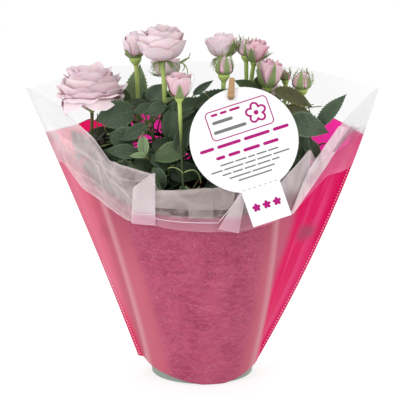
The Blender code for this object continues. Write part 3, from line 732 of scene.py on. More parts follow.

# %% [markdown]
# # The collar
# The bare top of the front panel is turned down over its own neckline. It is soft, so it hangs in
# crumples, and it is pleated at two places where it has to go round the pot. Two layers make it whiter
# than the single film, but leaves and pink still show through. On real film a sharp crease catches the
# light as a bright line. Three fields over the sheet carry this: the puffs lift it, a field of whiteness
# paints the highlights of puffs, creases, fold and hem into its colour, with painted shade between them,
# and a blush tints it where pink fibres cling to it. Some creases are drawn where the turning pulls the
# film, and the rest come from slow waves, as the lines where a wave crosses zero.

# %% collar finish
COLLAR_ALPHA = 0.55
collar_film = Finish("collar_film", 0.24, Alpha=COLLAR_ALPHA, Specular_IOR_Level=0.35)
veil_light_and_shade, blush = (collar_film.add("Attribute", attribute_name=key).outputs["Fac"] for key in ("veil_light_and_shade", "blush"))
# painted shade and sheen of fine wrinkles: a noise that lightens and darkens the film's whiteness
crinkle_shading = collar_film.between(collar_film.noise((1, 1, 0.7), 90, 4, 1.5), 0.35, 0.68, -0.06, 0.12)
white = collar_film.math("ADD", veil_light_and_shade, crinkle_shading, clamp=True)
# the colour runs from greyish painted shade in the valleys to near-white painted highlights on the creases
collar_film.colour(collar_film.mix(white, (140, 119, 120), (254, 238, 240)))
on_right = collar_film.between(collar_film.axis(0), 0.04, 0.07)
blush_colour = collar_film.mix(on_right, (206, 138, 160), (240, 70, 150))
collar_film.over(collar_film.math("MULTIPLY", blush, 0.85), blush_colour)
collar_film.over(collar_film.between(collar_film.axis(2), 0.234, 0.242), (226, 225, 227))
print("the collar lets", round(1 - COLLAR_ALPHA, 2), "of what lies behind it through")

# %% collar
COLLAR_LIFT, FOLD_LIFT = 3.6 * MM, 1.3 * MM
FILM_BEHIND_CARD = 0.7 * MM
DRAWN_CREASES = [
    [(-123, 222), (-106, 215), (-96, 205), (-92, 187), (-88, 173), (-76, 162)],
    [(-119, 198), (-104, 193), (-92, 186), (-84, 172), (-68, 162)],
    [(-96, 219), (-87, 197), (-70, 186), (-63, 178)],
    [(-84, 209), (-77, 198), (-63, 197), (-45, 203)],
    [(-131, 219), (-126, 203), (-112, 192), (-100, 178), (-87, 169)],
    [(138, 243), (128, 230), (119, 218), (111, 205), (98, 188), (86, 168)],
    [(133, 246), (121, 232), (110, 212), (101, 200), (90, 184), (80, 168)],
    [(118, 214), (116, 203), (112, 196)], [(50, 196), (57, 180), (62, 160)],
    [(72, 196), (74, 178), (80, 163)], [(-41, 192), (-8, 170), (20, 166)],
]


def line_distance(points, line):
    """Distance of flat points from a broken line: the least over its runs, with the foot kept on the run."""
    nearest = np.full(points.shape[:-1], np.inf)
    for start, end in zip(line[:-1], line[1:]):
        run = end - start
        share = np.clip((points - start) @ run / (run @ run), 0, 1)
        nearest = np.minimum(nearest, np.linalg.norm(points - start - share[..., None] * run, axis=-1))
    return nearest


def crease_lines(points, seed, size, width):
    """Thin lines of value 1 where slow waves cross zero, fading to 0 as the wave grows to the width."""
    return np.clip(1 - np.abs(waves(points, seed, size)) / width, 0, 1) ** 1.5


def make_collar():
    """From the neckline down: the lift grows evenly, puffs and creases grow from the fold."""
    share = np.linspace(-0.997, 0.997, 461)[None, :]
    v = np.linspace(0, 1, 80)[:, None]
    left = 1 - smoothstep(-0.62, -0.50, share)
    crumple = waves(np.stack([share * 0.11, 0 * share], -1), 66, 0.012) * smoothstep(-0.95, -0.85, share)
    top = neckline(share) + 0.6 * MM + 1.3 * MM * left * crumple
    height = top + v * (collar_hem(share) - top)
    share, v = share + 0 * height, v + 0 * height
    along = np.stack([share * 0.11, v * 0.045 + 0.03 * np.abs(share)], -1)
    height = height + 1.2 * MM * waves(along, 63, 0.04) * smoothstep(0.7, 1, v)
    flat = np.stack([share * seam_x(share, height), height], -1)
    puffs = creases(along, 61, 0.05)
    from_crease = np.min([line_distance(flat, np.array(line) * MM) for line in DRAWN_CREASES], 0)
    sharp, ridge = (np.exp(-((from_crease / width) ** 2)) for width in (0.8 * MM, 3 * MM))
    fine = np.maximum(crease_lines(along, 64, 0.05, 0.16), 0.7 * crease_lines(along, 65, 0.026, 0.14))
    at_fold = smoothstep(0, 0.12, v)
    near_seam = (1 - smoothstep(0.9, 0.985, np.abs(share))) * (1 - 0.7 * smoothstep(0.236, 0.252, height))
    lift = FOLD_LIFT * at_fold + v * (COLLAR_LIFT - FOLD_LIFT)
    lift = lift + (2.4 * puffs + 1.3 * ridge + 0.6 * fine) * MM * at_fold * near_seam
    points = on_sleeve(share, height, HALF_GAP + FILM_THICK + 0.4 * MM + lift, FRONT)
    middle = 1 - smoothstep(0.42, 0.62, np.abs(share))
    strip = smoothstep(0.5, 0.66, share) * (1 - smoothstep(0.30, 0.42, v))
    right_low = smoothstep(0.55, 0.7, share) * smoothstep(0.34, 0.46, v)
    upper = smoothstep(0.05, 0.2, v) * (1 - smoothstep(0.55, 0.75, v))
    # painted highlights on the puffs, creases, fold and hem, with painted shade between; also whiter in the
    # strip and upper left, greyer in the middle and lower right
    white = 0.31 + 0.30 * puffs + 0.42 * np.maximum(0.6 * fine, 0.7 * sharp)
    white = white + 0.5 * (1 - smoothstep(0, 0.07, v)) + 0.25 * smoothstep(0.965, 1, v) + 0.6 * strip
    white = white - 0.17 * middle - 0.15 * right_low
    white = white + left * (0.20 * upper + 0.11 * smoothstep(0.82, 0.95, -share))
    pink = 0.14 * smoothstep(0.5, 0.95, v) + 0.12 * smoothstep(0.84, 0.96, -share)
    pink = 0.9 * right_low + middle * smoothstep(0.60, 0.78, v) + 0.1 * strip + left * pink
    pink = np.clip(pink, 0, 1) * (1 - smoothstep(-3 * MM, 4 * MM, height - pink_top_back(share)))
    points, values = behind_card(points, FILM_BEHIND_CARD), {"veil_light_and_shade": np.clip(white, 0, 1), "blush": pink}
    sheets("collar_film", points, collar_film, ["collar"], values=values)


make_collar()

# %% [markdown]
# The pleats, the rolled middle and the stiff peak beside the tab are sheets of their own on top of the
# collar, and so are two dark sheets of painted shadow, one in the gap under the roll and one beside the
# strip near the right seam. Each is a four-cornered patch that follows the bag's curve, bulges a little,
# and has its own small creases. The peak is painted darker at its foot, as shadow. Bright lines lie where
# film is folded double: thin tubes that follow the bag's curve, pale partly as doubled film and partly as
# a painted highlight.

# %% collar patches
SPREAD = (0.3, 0.7)
FILMS = {  # roughness, alpha and gloss; the noise and its spread; two tints
    "pleat": (0.25, 0.74, 0.4, ((1, 1, 0.4), 60, 4, 0.5), None, (204, 188, 192), (234, 222, 226)),
    "roll": (0.3, 0.8, 0.4, ((1, 1, 1.6), 42, 3, 0.8), SPREAD, (152, 138, 135), (182, 169, 166)),
    # painted shadow: a dark sheet in the gap below the roll
    "shadowgap": (0.4, 0.8, 0.5, ((1, 1, 2), 90, 3), (0.35, 0.7), (84, 66, 66), (146, 130, 128)),
    "tongue": (0.3, 0.4, 0.5, (EVEN, 60, 2), None, (176, 164, 158), (200, 190, 184)),
    "strip": (0.25, 0.64, 0.35, ((1.6, 1, 0.6), 75, 3, 0.6), SPREAD, (222, 196, 204), (250, 236, 240)),
    "peak": (0.25, 0.74, 0.4, ((2, 1, 0.5), 45, 2), SPREAD, (166, 153, 155), (214, 202, 205)),
    # painted shade: a dark sheet beside the strip near the right seam
    "shadowpocket": (0.35, 0.44, 0.5, (EVEN, 90, 2), None, (112, 92, 98), (146, 124, 132)),
    # pale partly as doubled film, partly as a painted highlight of the fold
    "edge": (0.3, 0.8, 0.5, (EVEN, 200), None, (240, 214, 224), (252, 240, 245)),
}
# below a height the pleat is pinker, where pink film shows through, and the peak is darker, a painted shadow
LOW_TINTS_AND_SHADOW = {"pleat": (0.164, 0.172, (212, 166, 182)), "peak": (0.176, 0.192, (150, 124, 130))}


def film_finish(name, roughness, alpha, gloss, noise, spread, dark, light):
    """A clear film's finish. Below a height the pleat is pinker and the peak has a painted shadow, with a
    soft step between the two tints.
    """
    sockets = {"Alpha": alpha, "Specular_IOR_Level": gloss}
    film = speckled(name + "_film", roughness, noise, dark, light, spread, **sockets)
    if name in LOW_TINTS_AND_SHADOW:
        low, high, tint = LOW_TINTS_AND_SHADOW[name]
        film.over(film.between(film.axis(2), low, high, 1.0, 0.0), tint)
    return film


films = {name: film_finish(name, *row) for name, row in FILMS.items()}


def patch(name, corners, offset, seed, relief=0.8, bulge=0.0, steps=(24, 24), twist=0.0):
    """A four-cornered sheet. Corners are (x, z) in mm: top left, top right, bottom right, bottom left."""
    a, b, c, d = np.array(corners, float)[:, None, None, :] * MM
    u, v = (grid[..., None] for grid in np.meshgrid(np.linspace(0, 1, steps[0]), np.linspace(0, 1, steps[1])))
    flat = (1 - v) * ((1 - u) * a + u * b) + v * ((1 - u) * d + u * c)
    x, height, u, v = flat[..., 0], flat[..., 1], u[..., 0], v[..., 0]
    out = offset + relief * creases(flat, seed, 0.03) + bulge * np.sin(np.pi * v) + twist * (u - 0.5)
    points = np.stack([x, -depth(x, height, out * MM + HALF_GAP + FILM_THICK), height], -1)
    sheets("collar_" + name, behind_card(points, 0.6 * FILM_BEHIND_CARD), films[name.split("_")[0]])


# painted shadow in the gap below the roll
patch("shadowgap", [(-42, 179), (21, 179), (19, 169), (-42, 170)], 5.2, 75, 0.3)
patch("roll", [(-42, 191.5), (30, 199), (27, 175.5), (-42, 176)], 5.6, 72, 0.25, 2.2, (60, 18))
patch("tongue", [(-13, 191), (9, 192), (10, 168), (-12, 168)], 6.6, 77, 0.3, 1.6)
patch("pleat_left", [(-62, 192), (-42, 208), (-42, 159), (-64, 158)], 6.6, 71, 0.7, twist=-2)
patch("pleat_right", [(34, 192), (38, 184), (33, 153), (14, 158)], 7.2, 73, 0.7)
patch("peak", [(70, 194), (99, 222), (98, 192), (80, 163)], 6.0, 74, 0.5)
patch("strip_high", [(126, 242), (139, 239), (112, 200), (97, 203)], 7.0, 76)
patch("strip_low", [(97, 203), (112, 200), (84, 163), (81, 164)], 7.0, 76)
# painted shade beside the strip near the right seam
patch("shadowpocket", [(138, 241), (146, 238), (123, 217), (121, 218)], 7.6, 78, 0.5)
EDGES = [  # start, middle and end of each bright line as (x, z) in mm
    [(-62, 192), (-63, 176), (-64, 159)], [(-64, 168), (-54, 168.5), (-43, 170)],
    [(-42, 167), (-29, 165), (15, 164)], [(-62, 192), (-53, 200), (-43, 208)],
    [(35, 190), (25, 177), (15, 165)], [(73, 197), (86, 210), (98, 221)],
    [(98.5, 221), (98, 207), (97.5, 192)],
]
EDGE_OUT, EDGE_ROOM, EDGE_RADIUS = 8.3 * MM, 0.5 * MM, 0.32 * MM
start, middle, end = np.swapaxes(np.array(EDGES) * MM, 0, 1)
x, height = np.moveaxis(bend(start, 2 * middle - (start + end) / 2, end, 20), -1, 0)
paths = np.stack([x, -depth(x, height, EDGE_OUT), height], -1)
# bright lines at the folds: pale partly as doubled film, partly as a painted highlight
tubes("collar_edges", behind_card(paths, EDGE_ROOM), EDGE_RADIUS, 6, films["edge"])

# %% [markdown]
# # Card and peg
# The card is stiff white board, and its solid has the right shape, so it only gets a finish. Its print
# is plain: a frame with a flower outline, bars in the place of words, small flowers on the tab, and the
# dashes where the tab tears off. Ink is as thin as a hair, so each mark is a flat sheet a little above
# the board. An image would need its own file, and would turn soft when seen from near.

# %% card and ink
PRINT_LIFT = 0.07 * MM
MATT = {"Specular_IOR_Level": 0.25}
finish_solid("tag", speckled("card_board", 0.5, (EVEN, 450, 4), (240,) * 3, (248,) * 3, bump=0.00004, **MATT))
magenta_ink = speckled("magenta_ink", 0.5, (EVEN, 700, 2), (184, 4, 128), (160, 0, 108), **MATT)
grey_ink = speckled("grey_ink", 0.5, (EVEN, 700, 2), (128, 128, 124), (104, 104, 100), **MATT)


def print_on_card(name, right, up, ink, wrap=False):
    """A flat sheet just above the card's face, from millimetres to the right and up of its middle."""
    right, up = (part[..., None] for part in np.broadcast_arrays(right, up))
    points = tag_front + TAG_OUT * PRINT_LIFT + MM * (right * TAG_RIGHT + up * TAG_UP)
    sheets("card_" + name, points, ink, wrap=wrap)


def bars(name, rows, ink):
    """Bars with round ends: half the height is the root of r2 - d2 over the last r at each end."""
    left, right, up, thick = (column[:, None, None] for column in np.array(rows, float).T)
    along = left + (right - left) * (1 - np.cos(np.pi * np.linspace(0, 1, 15)[None, :, None])) / 2
    radius = thick / 2
    short = radius - np.minimum(np.minimum(along - left, right - along), radius)
    half = np.sqrt(np.maximum(radius**2 - short**2, 0))
    print_on_card(name, along, up - half * np.array([-1.0, 1.0]), ink)


def word_bars(lines, seed):
    """Each line (left, right, up, height, words) is cut into words of uneven length with even gaps."""
    rng = np.random.default_rng(seed)
    rows = []
    for left, right, up, height, words in lines:
        lengths = rng.uniform(0.6, 1.5, words)
        lengths *= (right - left - height * (words - 1)) / lengths.sum()
        start = left + np.concatenate([[0], np.cumsum(lengths[:-1] + height)])
        rows += [(s, s + length, up, height) for s, length in zip(start, lengths)]
    return rows


def outline(name, right, up, width):
    """A closed line of even width: each point is moved half the width to both sides of the path."""
    path = np.stack([right, up], -1)
    ahead = unit(np.roll(path, -1, 0) - np.roll(path, 1, 0))
    aside = np.stack([-ahead[:, 1], ahead[:, 0]], -1) * width / 2
    both = np.stack([path + aside, path - aside])
    print_on_card(name, both[..., 0], both[..., 1], magenta_ink, wrap=True)


def rounded_frame(left, right, low, high, radius, steps=10):
    """Corner after corner: a quarter circle round each inner corner point."""
    left, right, low, high = left + radius, right - radius, low + radius, high - radius
    angle = np.concatenate([np.linspace(0, np.pi / 2, steps) + k * np.pi / 2 for k in range(4)])
    x, y = np.repeat(np.array([(right, high), (left, high), (left, low), (right, low)]), steps, 0).T
    return x + radius * np.cos(angle), y + radius * np.sin(angle)


print("ink lies", round(PRINT_LIFT / MM, 2), "mm above the board")


# %% print on the card
def flower_line(size, count=90):
    """Five petals: the radius swells with the size of the cosine of two and a half turns."""
    angle = circle(count)
    radius = size * (0.58 + 0.42 * np.abs(np.cos(2.5 * angle)) ** 0.8)
    return radius * np.sin(angle), radius * np.cos(angle)


outline("frame", *rounded_frame(-26.5, 31.5, 6.6, 33.6, 4.0), 1.0)
flower_x, flower_y = flower_line(9.2)
outline("flower", 18.5 + flower_x, 20.5 + flower_y, 1.9)
bars("flower_eye", [(16.3, 20.7, 20.5, 4.4)], magenta_ink)
# On the tab, every corner of a flower's outline is joined to its middle.
flower_x, flower_y = flower_line(3.9, 60)
shares = np.array([0.0, 1.0])[None, :, None]
tab_x = np.array([-9.6, 0.0, 9.6])[:, None, None]
print_on_card("tab_flowers", tab_x + shares * flower_x, -62.6 + shares * flower_y, magenta_ink, wrap=True)
MAGENTA_LINES = [(-21.5, 6, 29.8, 2.3, 3), (-41.5, 42.5, 0.4, 3.0, 4), (-29.5, 29.5, -9.4, 3.0, 4)]
GREY_LINES = [(-22.5, -3, 22.6, 3.0, 1), (-24, 7.0, 13.6, 3.0, 1), (-28, 27, -16.4, 1.3, 5),
              (-38, 36, -20.9, 1.3, 5), (-29, 25, -25.4, 1.3, 5), (-24, 19, -29.9, 1.3, 2),
              (-17, 15, -34.2, 1.3, 1)]
bars("bars_magenta", word_bars(MAGENTA_LINES, 2), magenta_ink)
bars("bars_grey", word_bars(GREY_LINES, 3), grey_ink)
bars("tear_line", [(x, x + 2.8, -44.5, 0.45) for x in np.arange(-16.5, 15, 5.0)], grey_ink)

# %% [markdown]
# The peg is a small clothes peg of pale wood. The grain runs along it, and its lower end is painted
# darker, as shade. Its spring is a coil of steel wire: a circle that moves along the peg's width as it
# turns, with two short arms. A lever is a soft rectangle carried up a line, with rounded ends and a groove
# for the spring.

# %% peg
peg_wood = speckled("peg_wood", 0.6, ((1, 1, 0.4), 160, 2), (166, 130, 88), (194, 158, 114))
wood_rings = peg_wood.noise((1, 1, 0.06), 1500, 4, 0.6)
peg_wood.over(peg_wood.between(wood_rings, 0.48, 0.7, 0.0, 0.7), (138, 100, 64)).bump(wood_rings, 0.0001)
peg_low = float(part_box("peg_front")[0][2])
# painted shade: the lower end of the peg is darker
shaded_foot = peg_wood.between(peg_wood.axis(2), peg_low + 1.5 * MM, peg_low + 5 * MM, 0.75, 0.0)
peg_wood.over(shaded_foot, (112, 92, 66))
steel = speckled("spring_steel", 0.3, (EVEN, 900), (150, 150, 150), (200, 200, 200), Metallic=1.0)
PEG_HALF_WIDTH, PEG_SHORTER, PEG_TURN = 3.2 * MM, 4.0 * MM, math.radians(4)
SPRING_TURNS, SPRING_RADIUS, WIRE_RADIUS, SPRING_STEPS = 5, 1.2 * MM, 0.3 * MM, 110


def make_spring():
    """A helix, (along, r cos a, r sin a), with a straight arm at each end."""
    low, high = (np.array(corner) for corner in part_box("peg_coil"))
    turn = np.linspace(0, 2 * np.pi * SPRING_TURNS, SPRING_STEPS)
    along = np.linspace(-0.36, 0.36, SPRING_STEPS) * (high[0] - low[0])
    coil = np.stack([along, SPRING_RADIUS * np.cos(turn), SPRING_RADIUS * np.sin(turn)], -1)
    path = (low + high) / 2 + coil
    arm = np.linspace(3.4 * MM, 0.4 * MM, 6)[:, None] * np.array([0, 0, 1.0])
    path = np.concatenate([path[0] - arm, path, path[-1] + arm[::-1]])
    tubes("peg_spring", path[None], WIRE_RADIUS, 7, steel, ["peg_coil"])


def make_peg_half(node, facing):
    """A ring of (cos a, sin a)^0.55, scaled by half width and thickness at each place along the lever."""
    points = node_points(node)
    middle = (points.min(0) + points.max(0)) / 2
    axes = np.stack([ACROSS * math.cos(PEG_TURN) - UPHILL * math.sin(PEG_TURN),
                     UPHILL * math.cos(PEG_TURN) + ACROSS * math.sin(PEG_TURN), TAG_OUT])
    spots = (points - middle) @ axes.T
    low, high = spots.min(0), spots.max(0)
    full = (high[2] - low[2]) / 2
    t = np.linspace(0, 1, 40)[:, None]
    round_end = np.sqrt(np.clip(1 - (np.abs(2 * t - 1) ** 12), 0, 1))
    thick = full * (1 - 0.45 * smoothstep(0.55, 1, t))
    thick = thick * (1 - 0.35 * np.exp(-(((t - 0.30) / 0.035) ** 2))) * round_end**0.5
    cosine, sine = (np.sign(way) * np.abs(way) ** 0.55 for way in (np.cos(circle(24)), np.sin(circle(24))))
    across = PEG_HALF_WIDTH * (1 - 0.22 * t) * round_end * cosine
    along = low[1] + t * (high[1] - PEG_SHORTER - low[1]) + 0 * across
    out = thick * sine - facing * (full - thick) + (high[2] + low[2]) / 2
    block = middle + np.stack([across, along, out], -1) @ axes
    sheets(node + "_wood", block, peg_wood, [node], wrap=True)


make_peg_half("peg_front", 1)
make_peg_half("peg_back", -1)
make_spring()

# %% [markdown]
# # Keeping the plant in its bag
# Leaves press against the film, and never come through it. One function moves any point of the plant
# back inside: behind the front film, before the back film, between the seams, above the soil, and
# behind the card.

# %% limits of the plant
SIDE_ROOM, FILM_ROOM, CARD_ROOM, LEAST_ROOM = 7 * MM, 2.5 * MM, 1.5 * MM, 1.5 * MM
FLOOR_OF_PLANT = soil_high.z + 3 * MM


def keep_inside(points):
    """Points of the plant, moved no further than needed to clear film, soil and card."""
    z = np.maximum(points[..., 2], FLOOR_OF_PLANT)
    widest = seam_x(points[..., 0], z) - SIDE_ROOM
    x = np.clip(points[..., 0], -widest, widest)
    limit = np.maximum(depth(x, z) - FILM_ROOM, LEAST_ROOM)
    return behind_card(np.stack([x, np.clip(points[..., 1], -limit, limit), z], -1), CARD_ROOM)


print("the plant keeps", 1000 * FILM_ROOM, "mm from the film")

# %% [markdown]
# # The bush
# Four woody canes stand in the soil, one for each cutting in the pot. Each goes on as boughs from mass
# to mass of foliage, and every mass has twigs that fan out from its middle. The rule is the plant's
# own: a bough comes from the nearest mass below, a twig bends up before it reaches out, and leaves
# stand along a twig one golden angle apart. Bark is real relief: waves push a tube's points out from
# its own axis.

# %% canes and boughs
GOLDEN_ANGLE = math.pi * (3 - math.sqrt(5))
CANES = {"front_left": (-16, -12), "front_right": (17, -13), "back_left": (-15, 14), "back_right": (16, 15)}
CANE_FOOT, CANE_TIP, BOUGH_TIP = 3.4 * MM, 2.3 * MM, 1.6 * MM
LOWER_BY, BOUGHS_ABOVE, BOUGH_RISE, BARK_WAVE = 20 * MM, 200 * MM, 10 * MM, 4 * MM


def corners_of(part):
    """The boxes of all solids with a word in their names."""
    return {name: [np.array(c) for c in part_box(name)] for name in sorted(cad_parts) if part in name}


masses = corners_of("foliage_")
middles = {name: (low + high) / 2 for name, (low, high) in masses.items()}
halves = {name: (high - low) / 2 for name, (low, high) in masses.items()}


def mass_below(name):
    """The nearest mass whose middle lies clearly lower, which a bough comes from."""
    lower = [other for other in middles if middles[other][2] < middles[name][2] - LOWER_BY]
    return middles[min(lower, key=lambda other: np.linalg.norm(middles[other] - middles[name]))]


bark = Finish("cane_bark", 0.8)
bark_lines = bark.noise((1, 1, 0.12), 900, 4, 0.8)
bark_colour = bark.mix(bark.noise(EVEN, 120, 3), (96, 84, 52), (92, 104, 58))
bark.colour(bark.mix(bark_lines, bark_colour, (150, 136, 98))).bump(bark_lines, 0.0006)
green_skin = speckled("green_skin", 0.42, ((1, 1, 0.2), 300, 3), (72, 88, 48), (106, 122, 68), bump=0.0002)


def cane_path(name):
    """Straight up from its place in the soil, then over to its mass."""
    middle = middles["foliage_low_" + name]
    foot = np.array((CANES[name][0] * MM, CANES[name][1] * MM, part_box("cane_" + name)[0].z - 1 * MM))
    return bend(foot, foot + np.array((0, 0, 0.35 * (middle[2] - foot[2]))), middle, 24)


def barked_tubes(name, paths, foot, tip, sides, height, seed, replaces=()):
    """Tubes from one radius to another. Each point moves out from the axis by a share of its distance."""
    block = tube_blocks(paths, np.linspace(foot, tip, paths.shape[1]), sides)
    axis = block.mean(-2, keepdims=True)
    ridge = waves(block * np.array([1, 1, 0.25]), seed, BARK_WAVE)
    block = axis + (block - axis) * (1 + height * ridge[..., None])
    sheets(name, block, bark, replaces, wrap=True)


cane_paths = np.array([cane_path(name) for name in CANES])
barked_tubes("canes", cane_paths, CANE_FOOT, CANE_TIP, 18, 0.16, 41, ["cane_" + name for name in CANES])
upper = [name for name in middles if middles[name][2] > BOUGHS_ABOVE]
start, end = np.array([mass_below(name) for name in upper]), np.array([middles[name] for name in upper])
paths = bend(start, (start + end) / 2 + [0, 0, BOUGH_RISE], end, 16)
barked_tubes("boughs", paths, CANE_TIP, BOUGH_TIP, 12, 0.12, 42)

# %% [markdown]
# ## Twigs
# A twig starts near the middle of its mass, rises, and ends just inside the mass's skin. The ends are
# spread evenly over a ball, with equal steps in height and a golden angle between them, then shaken a
# little, so that no side stays bare.

# %% twigs
TWIGS_PER_MASS, TWIG_STEPS, TWIG_REACH = 11, 14, 0.80
TWIG_FOOT, TWIG_TIP = 1.3 * MM, 0.7 * MM
START_SPREAD, START_LOWER, TWIG_RISE = 3 * MM, 8 * MM, 9 * MM


def even_directions(count, rng):
    """Directions over a ball: even steps in height, a golden angle between them, and a small shake."""
    index = np.arange(count) + 0.5
    height = 1 - 1.7 * index / count
    turn = GOLDEN_ANGLE * index + rng.uniform(0, 2 * np.pi)
    spread = around_z(np.sqrt(np.maximum(1 - height**2, 0)), turn, height)
    return unit(spread + rng.normal(0, 0.14, (count, 3)))


def grow_twigs():
    """Paths of all twigs, mass after mass."""
    rng = np.random.default_rng(5)
    starts, ends = [], []
    for name, middle in middles.items():
        out = even_directions(TWIGS_PER_MASS, rng)
        starts.append(middle + rng.normal(0, START_SPREAD, (TWIGS_PER_MASS, 3)) - [0, 0, START_LOWER])
        ends.append(middle + out * halves[name] * TWIG_REACH)
    starts, ends = np.concatenate(starts), np.concatenate(ends)
    return keep_inside(bend(starts, (starts + ends) / 2 + [0, 0, TWIG_RISE], ends, TWIG_STEPS))


twig_paths = grow_twigs()
twig_middles = np.repeat(np.array(list(middles.values())), TWIGS_PER_MASS, 0)
tubes("twigs", twig_paths, np.linspace(TWIG_FOOT, TWIG_TIP, TWIG_STEPS), 6, green_skin)

# %% [markdown]
# ## Leaves
# A rose leaf is compound: five toothed leaflets on one stalk, one at its end and two pairs below. A
# leaflet is a small sheet. Its half width follows a sine over its length and carries the teeth, its two
# halves rise from the midrib, its edge waves, and its tip bends down. The stalk and the midribs are
# pieces of their own, because they are paler than the blade. Each twig has one colour of leaf, dealt
# out at random, since young shoots are lighter than old ones.

# %% leaflet shape
def leaflet_shape(rows, cols, fold=0.30, droop=0.22):
    """Across, along and up for a leaflet of length one, on rows along it and columns across it."""
    along = np.linspace(0, 1, rows)[:, None]
    across = np.linspace(-1, 1, cols)[None, :]
    half_width = 0.335 * np.sin(np.pi * along**0.80) ** (0.55 + 0.5 * along)
    tooth = np.where(np.arange(rows) % 2 == 1, 1.11, 0.95)[:, None]
    edge = np.abs(across) ** 4
    x = across * half_width * (1 + (tooth - 1) * edge)
    y = along - 0.3 / rows * edge * (tooth > 1)
    quilt = 0.016 * np.cos(2 * np.pi * 5 * (along + 0.35 * np.abs(across))) * np.sin(np.pi * np.abs(across))
    return np.stack([x, y, fold * np.abs(x) + quilt - droop * along**2], -1)


LEAFLET, NEAR_LEAFLET = leaflet_shape(11, 5), leaflet_shape(29, 9, 0.22, 0.30)
print("a leaflet has", LEAFLET[..., 0].size, "points, and a near one", NEAR_LEAFLET[..., 0].size)


def placed(shape, origin, along, normal, size, broad=1.0):
    """Copies of a shape with its y axis along, its z axis near the normal, its own size and breadth."""
    along = unit(along)
    side = unit(np.cross(along, normal)) * np.reshape(broad, (-1, 1))
    axes = np.stack([side, along, np.cross(unit(side), along)], -2)
    points = origin[:, None] + size[:, None, None] * np.einsum("pk,nkc->npc", shape.reshape(-1, 3), axes)
    return points.reshape(len(origin), *shape.shape)


def rib_blocks(shape, *places):
    """The midrib: a narrow roof over the leaflet's middle line, from its stalk to near its tip."""
    line = shape[:, shape.shape[1] // 2]
    width = 0.014 * (1 - 0.7 * np.linspace(0, 1, len(line)))[:, None]
    lift = np.array([[0.001, 0.014, 0.001]])
    roof = np.stack([width * np.array([[-1, 0, 1]]), line[:, 1:2] + 0 * lift, line[:, 2:3] + lift], -1)
    return placed(roof, *places)


# %% [markdown]
# ## Leaves that lie on top
# Some leaves lie in front of all others and make the plant's face: these are placed one by one, each
# by its foot, its tip, its depth and its breadth. They are grown finer than the rest. Any other leaflet
# that would hide one of them is left out, and so is any that would close the gaps through which the
# lit film shows. To test this, each leaflet's middle is carried along the line of sight to the plane
# of the seams.

# %% near leaves
NEAR_LEAVES = [  # colour; foot x and z, tip x and z, depth y and breadth in mm
    ("dark", -63, 257, -99, 248, -30, 26), ("young", -61, 252, -65, 291, 32, 25),
    ("mid", -71, 254, -73, 273, 4, 12), ("dark", -105, 214, -121, 236, -20, 17),
    ("dark", -55, 258, -49, 275, 0, 9), ("grey", -50, 261, -36, 279, -4, 17),
    ("dark", -46, 260, -64, 258, -34, 11), ("dark", -34, 263, -52, 256, -40, 13),
    ("dark", -32, 256, -10, 269, -30, 12), ("dark", -30, 251, -1, 272, -36, 19),
    ("dark", -24, 241, 4, 258, -40, 22), ("dark", -27, 259, -31, 228, -42, 16),
    ("dark", -50, 245, -76, 232, -44, 12), ("dark", -66, 264, -44, 254, -18, 13),
    ("dark", -48, 262, -29, 254, -20, 13), ("dark", -88, 243, -70, 249, -22, 11),
    ("grey", -58, 236, -87, 237, -36, 12), ("young", -54, 236, -53, 215, -52, 10),
    ("young", -51, 218, -66, 220, -52, 6), ("mid", -14, 224, -48, 218, -50, 19),
    ("dark", -58, 219, -89, 225, -48, 14), ("dark", -48, 215, -18, 207, -46, 15),
    ("grey", -43, 208, -34, 188, -60, 13), ("dark", -23, 222, -10, 252, -50, 15),
    ("dark", -30, 199, 4, 209, -42, 20), ("dark", -62, 214, -34, 199, -40, 20),
    ("dark", -46, 222, -22, 230, -34, 14), ("dark", -84, 236, -62, 224, -38, 15),
    ("dark", -24, 209, 3, 197, -48, 14), ("dark", -8, 261, 32, 281, -38, 15),
    ("grey", -8, 270, 9, 284, -20, 7), ("mid", 50, 266, 55, 288, 12, 11),
    ("mid", 52, 270, 32, 283, -2, 12), ("olive", 67, 274, 104, 263, -20, 15),
    ("olive", 75, 258, 106, 254, -24, 11), ("grey", 78, 246, 118, 241, -34, 25),
    ("grey", 108, 240, 131, 271, -16, 14), ("dark", 84, 240, 97, 210, -34, 18),
    ("dark", 95, 230, 112, 205, -30, 14),
]
GAPS = [  # places (x, z) and radius in mm on the plane of the seams, seen along the line of sight
    (-113, 249, 13), (-124, 258, 14), (-99, 251, 8), (-62, 243, 3), (-42, 242, 5), (-48, 229, 6),
    (-70, 224, 4), (-15, 205, 4), (103, 229, 5), (111, 226, 6), (119, 233, 8), (130, 238, 13),
    (132, 250, 12), (107, 259, 6), (120, 262, 7), (125, 215, 9), (148, 250, 16),
]
SKYLINE = [  # the top of the foliage as places (x, z) in mm on the same plane
    (-134, 196), (-111, 225), (-96, 246), (-77, 259), (-66, 276), (-58, 284), (-50, 274), (-32, 280),
    (-15, 272), (5, 280), (13, 274), (35, 278), (50, 287), (65, 274), (92, 270), (103, 264), (122, 255),
    (134, 266), (140, 240),
]
SKY_ROOM, GAP_ROOM, BLOOM_ROOM, LEAF_ROOM, BEHIND_ROOM = 8 * MM, 9 * MM, 7 * MM, 5 * MM, 7 * MM


def seen_at(points):
    """Where the line of sight to each point meets the plane of the seams, as (x, z)."""
    eye = np.array(camera.location)
    share = -eye[1] / (points[..., 1] - eye[1])
    return (eye + share[..., None] * (points - eye))[..., [0, 2]]


near_colour = np.array([row[0] for row in NEAR_LEAVES])
foot_x, foot_z, tip_x, tip_z, near_y, near_breadth = np.array([row[1:] for row in NEAR_LEAVES]).T * MM
near_foot, near_tip = np.stack([foot_x, near_y, foot_z], -1), np.stack([tip_x, near_y - 3 * MM, tip_z], -1)
bloom_boxes = corners_of("bloom_").values()


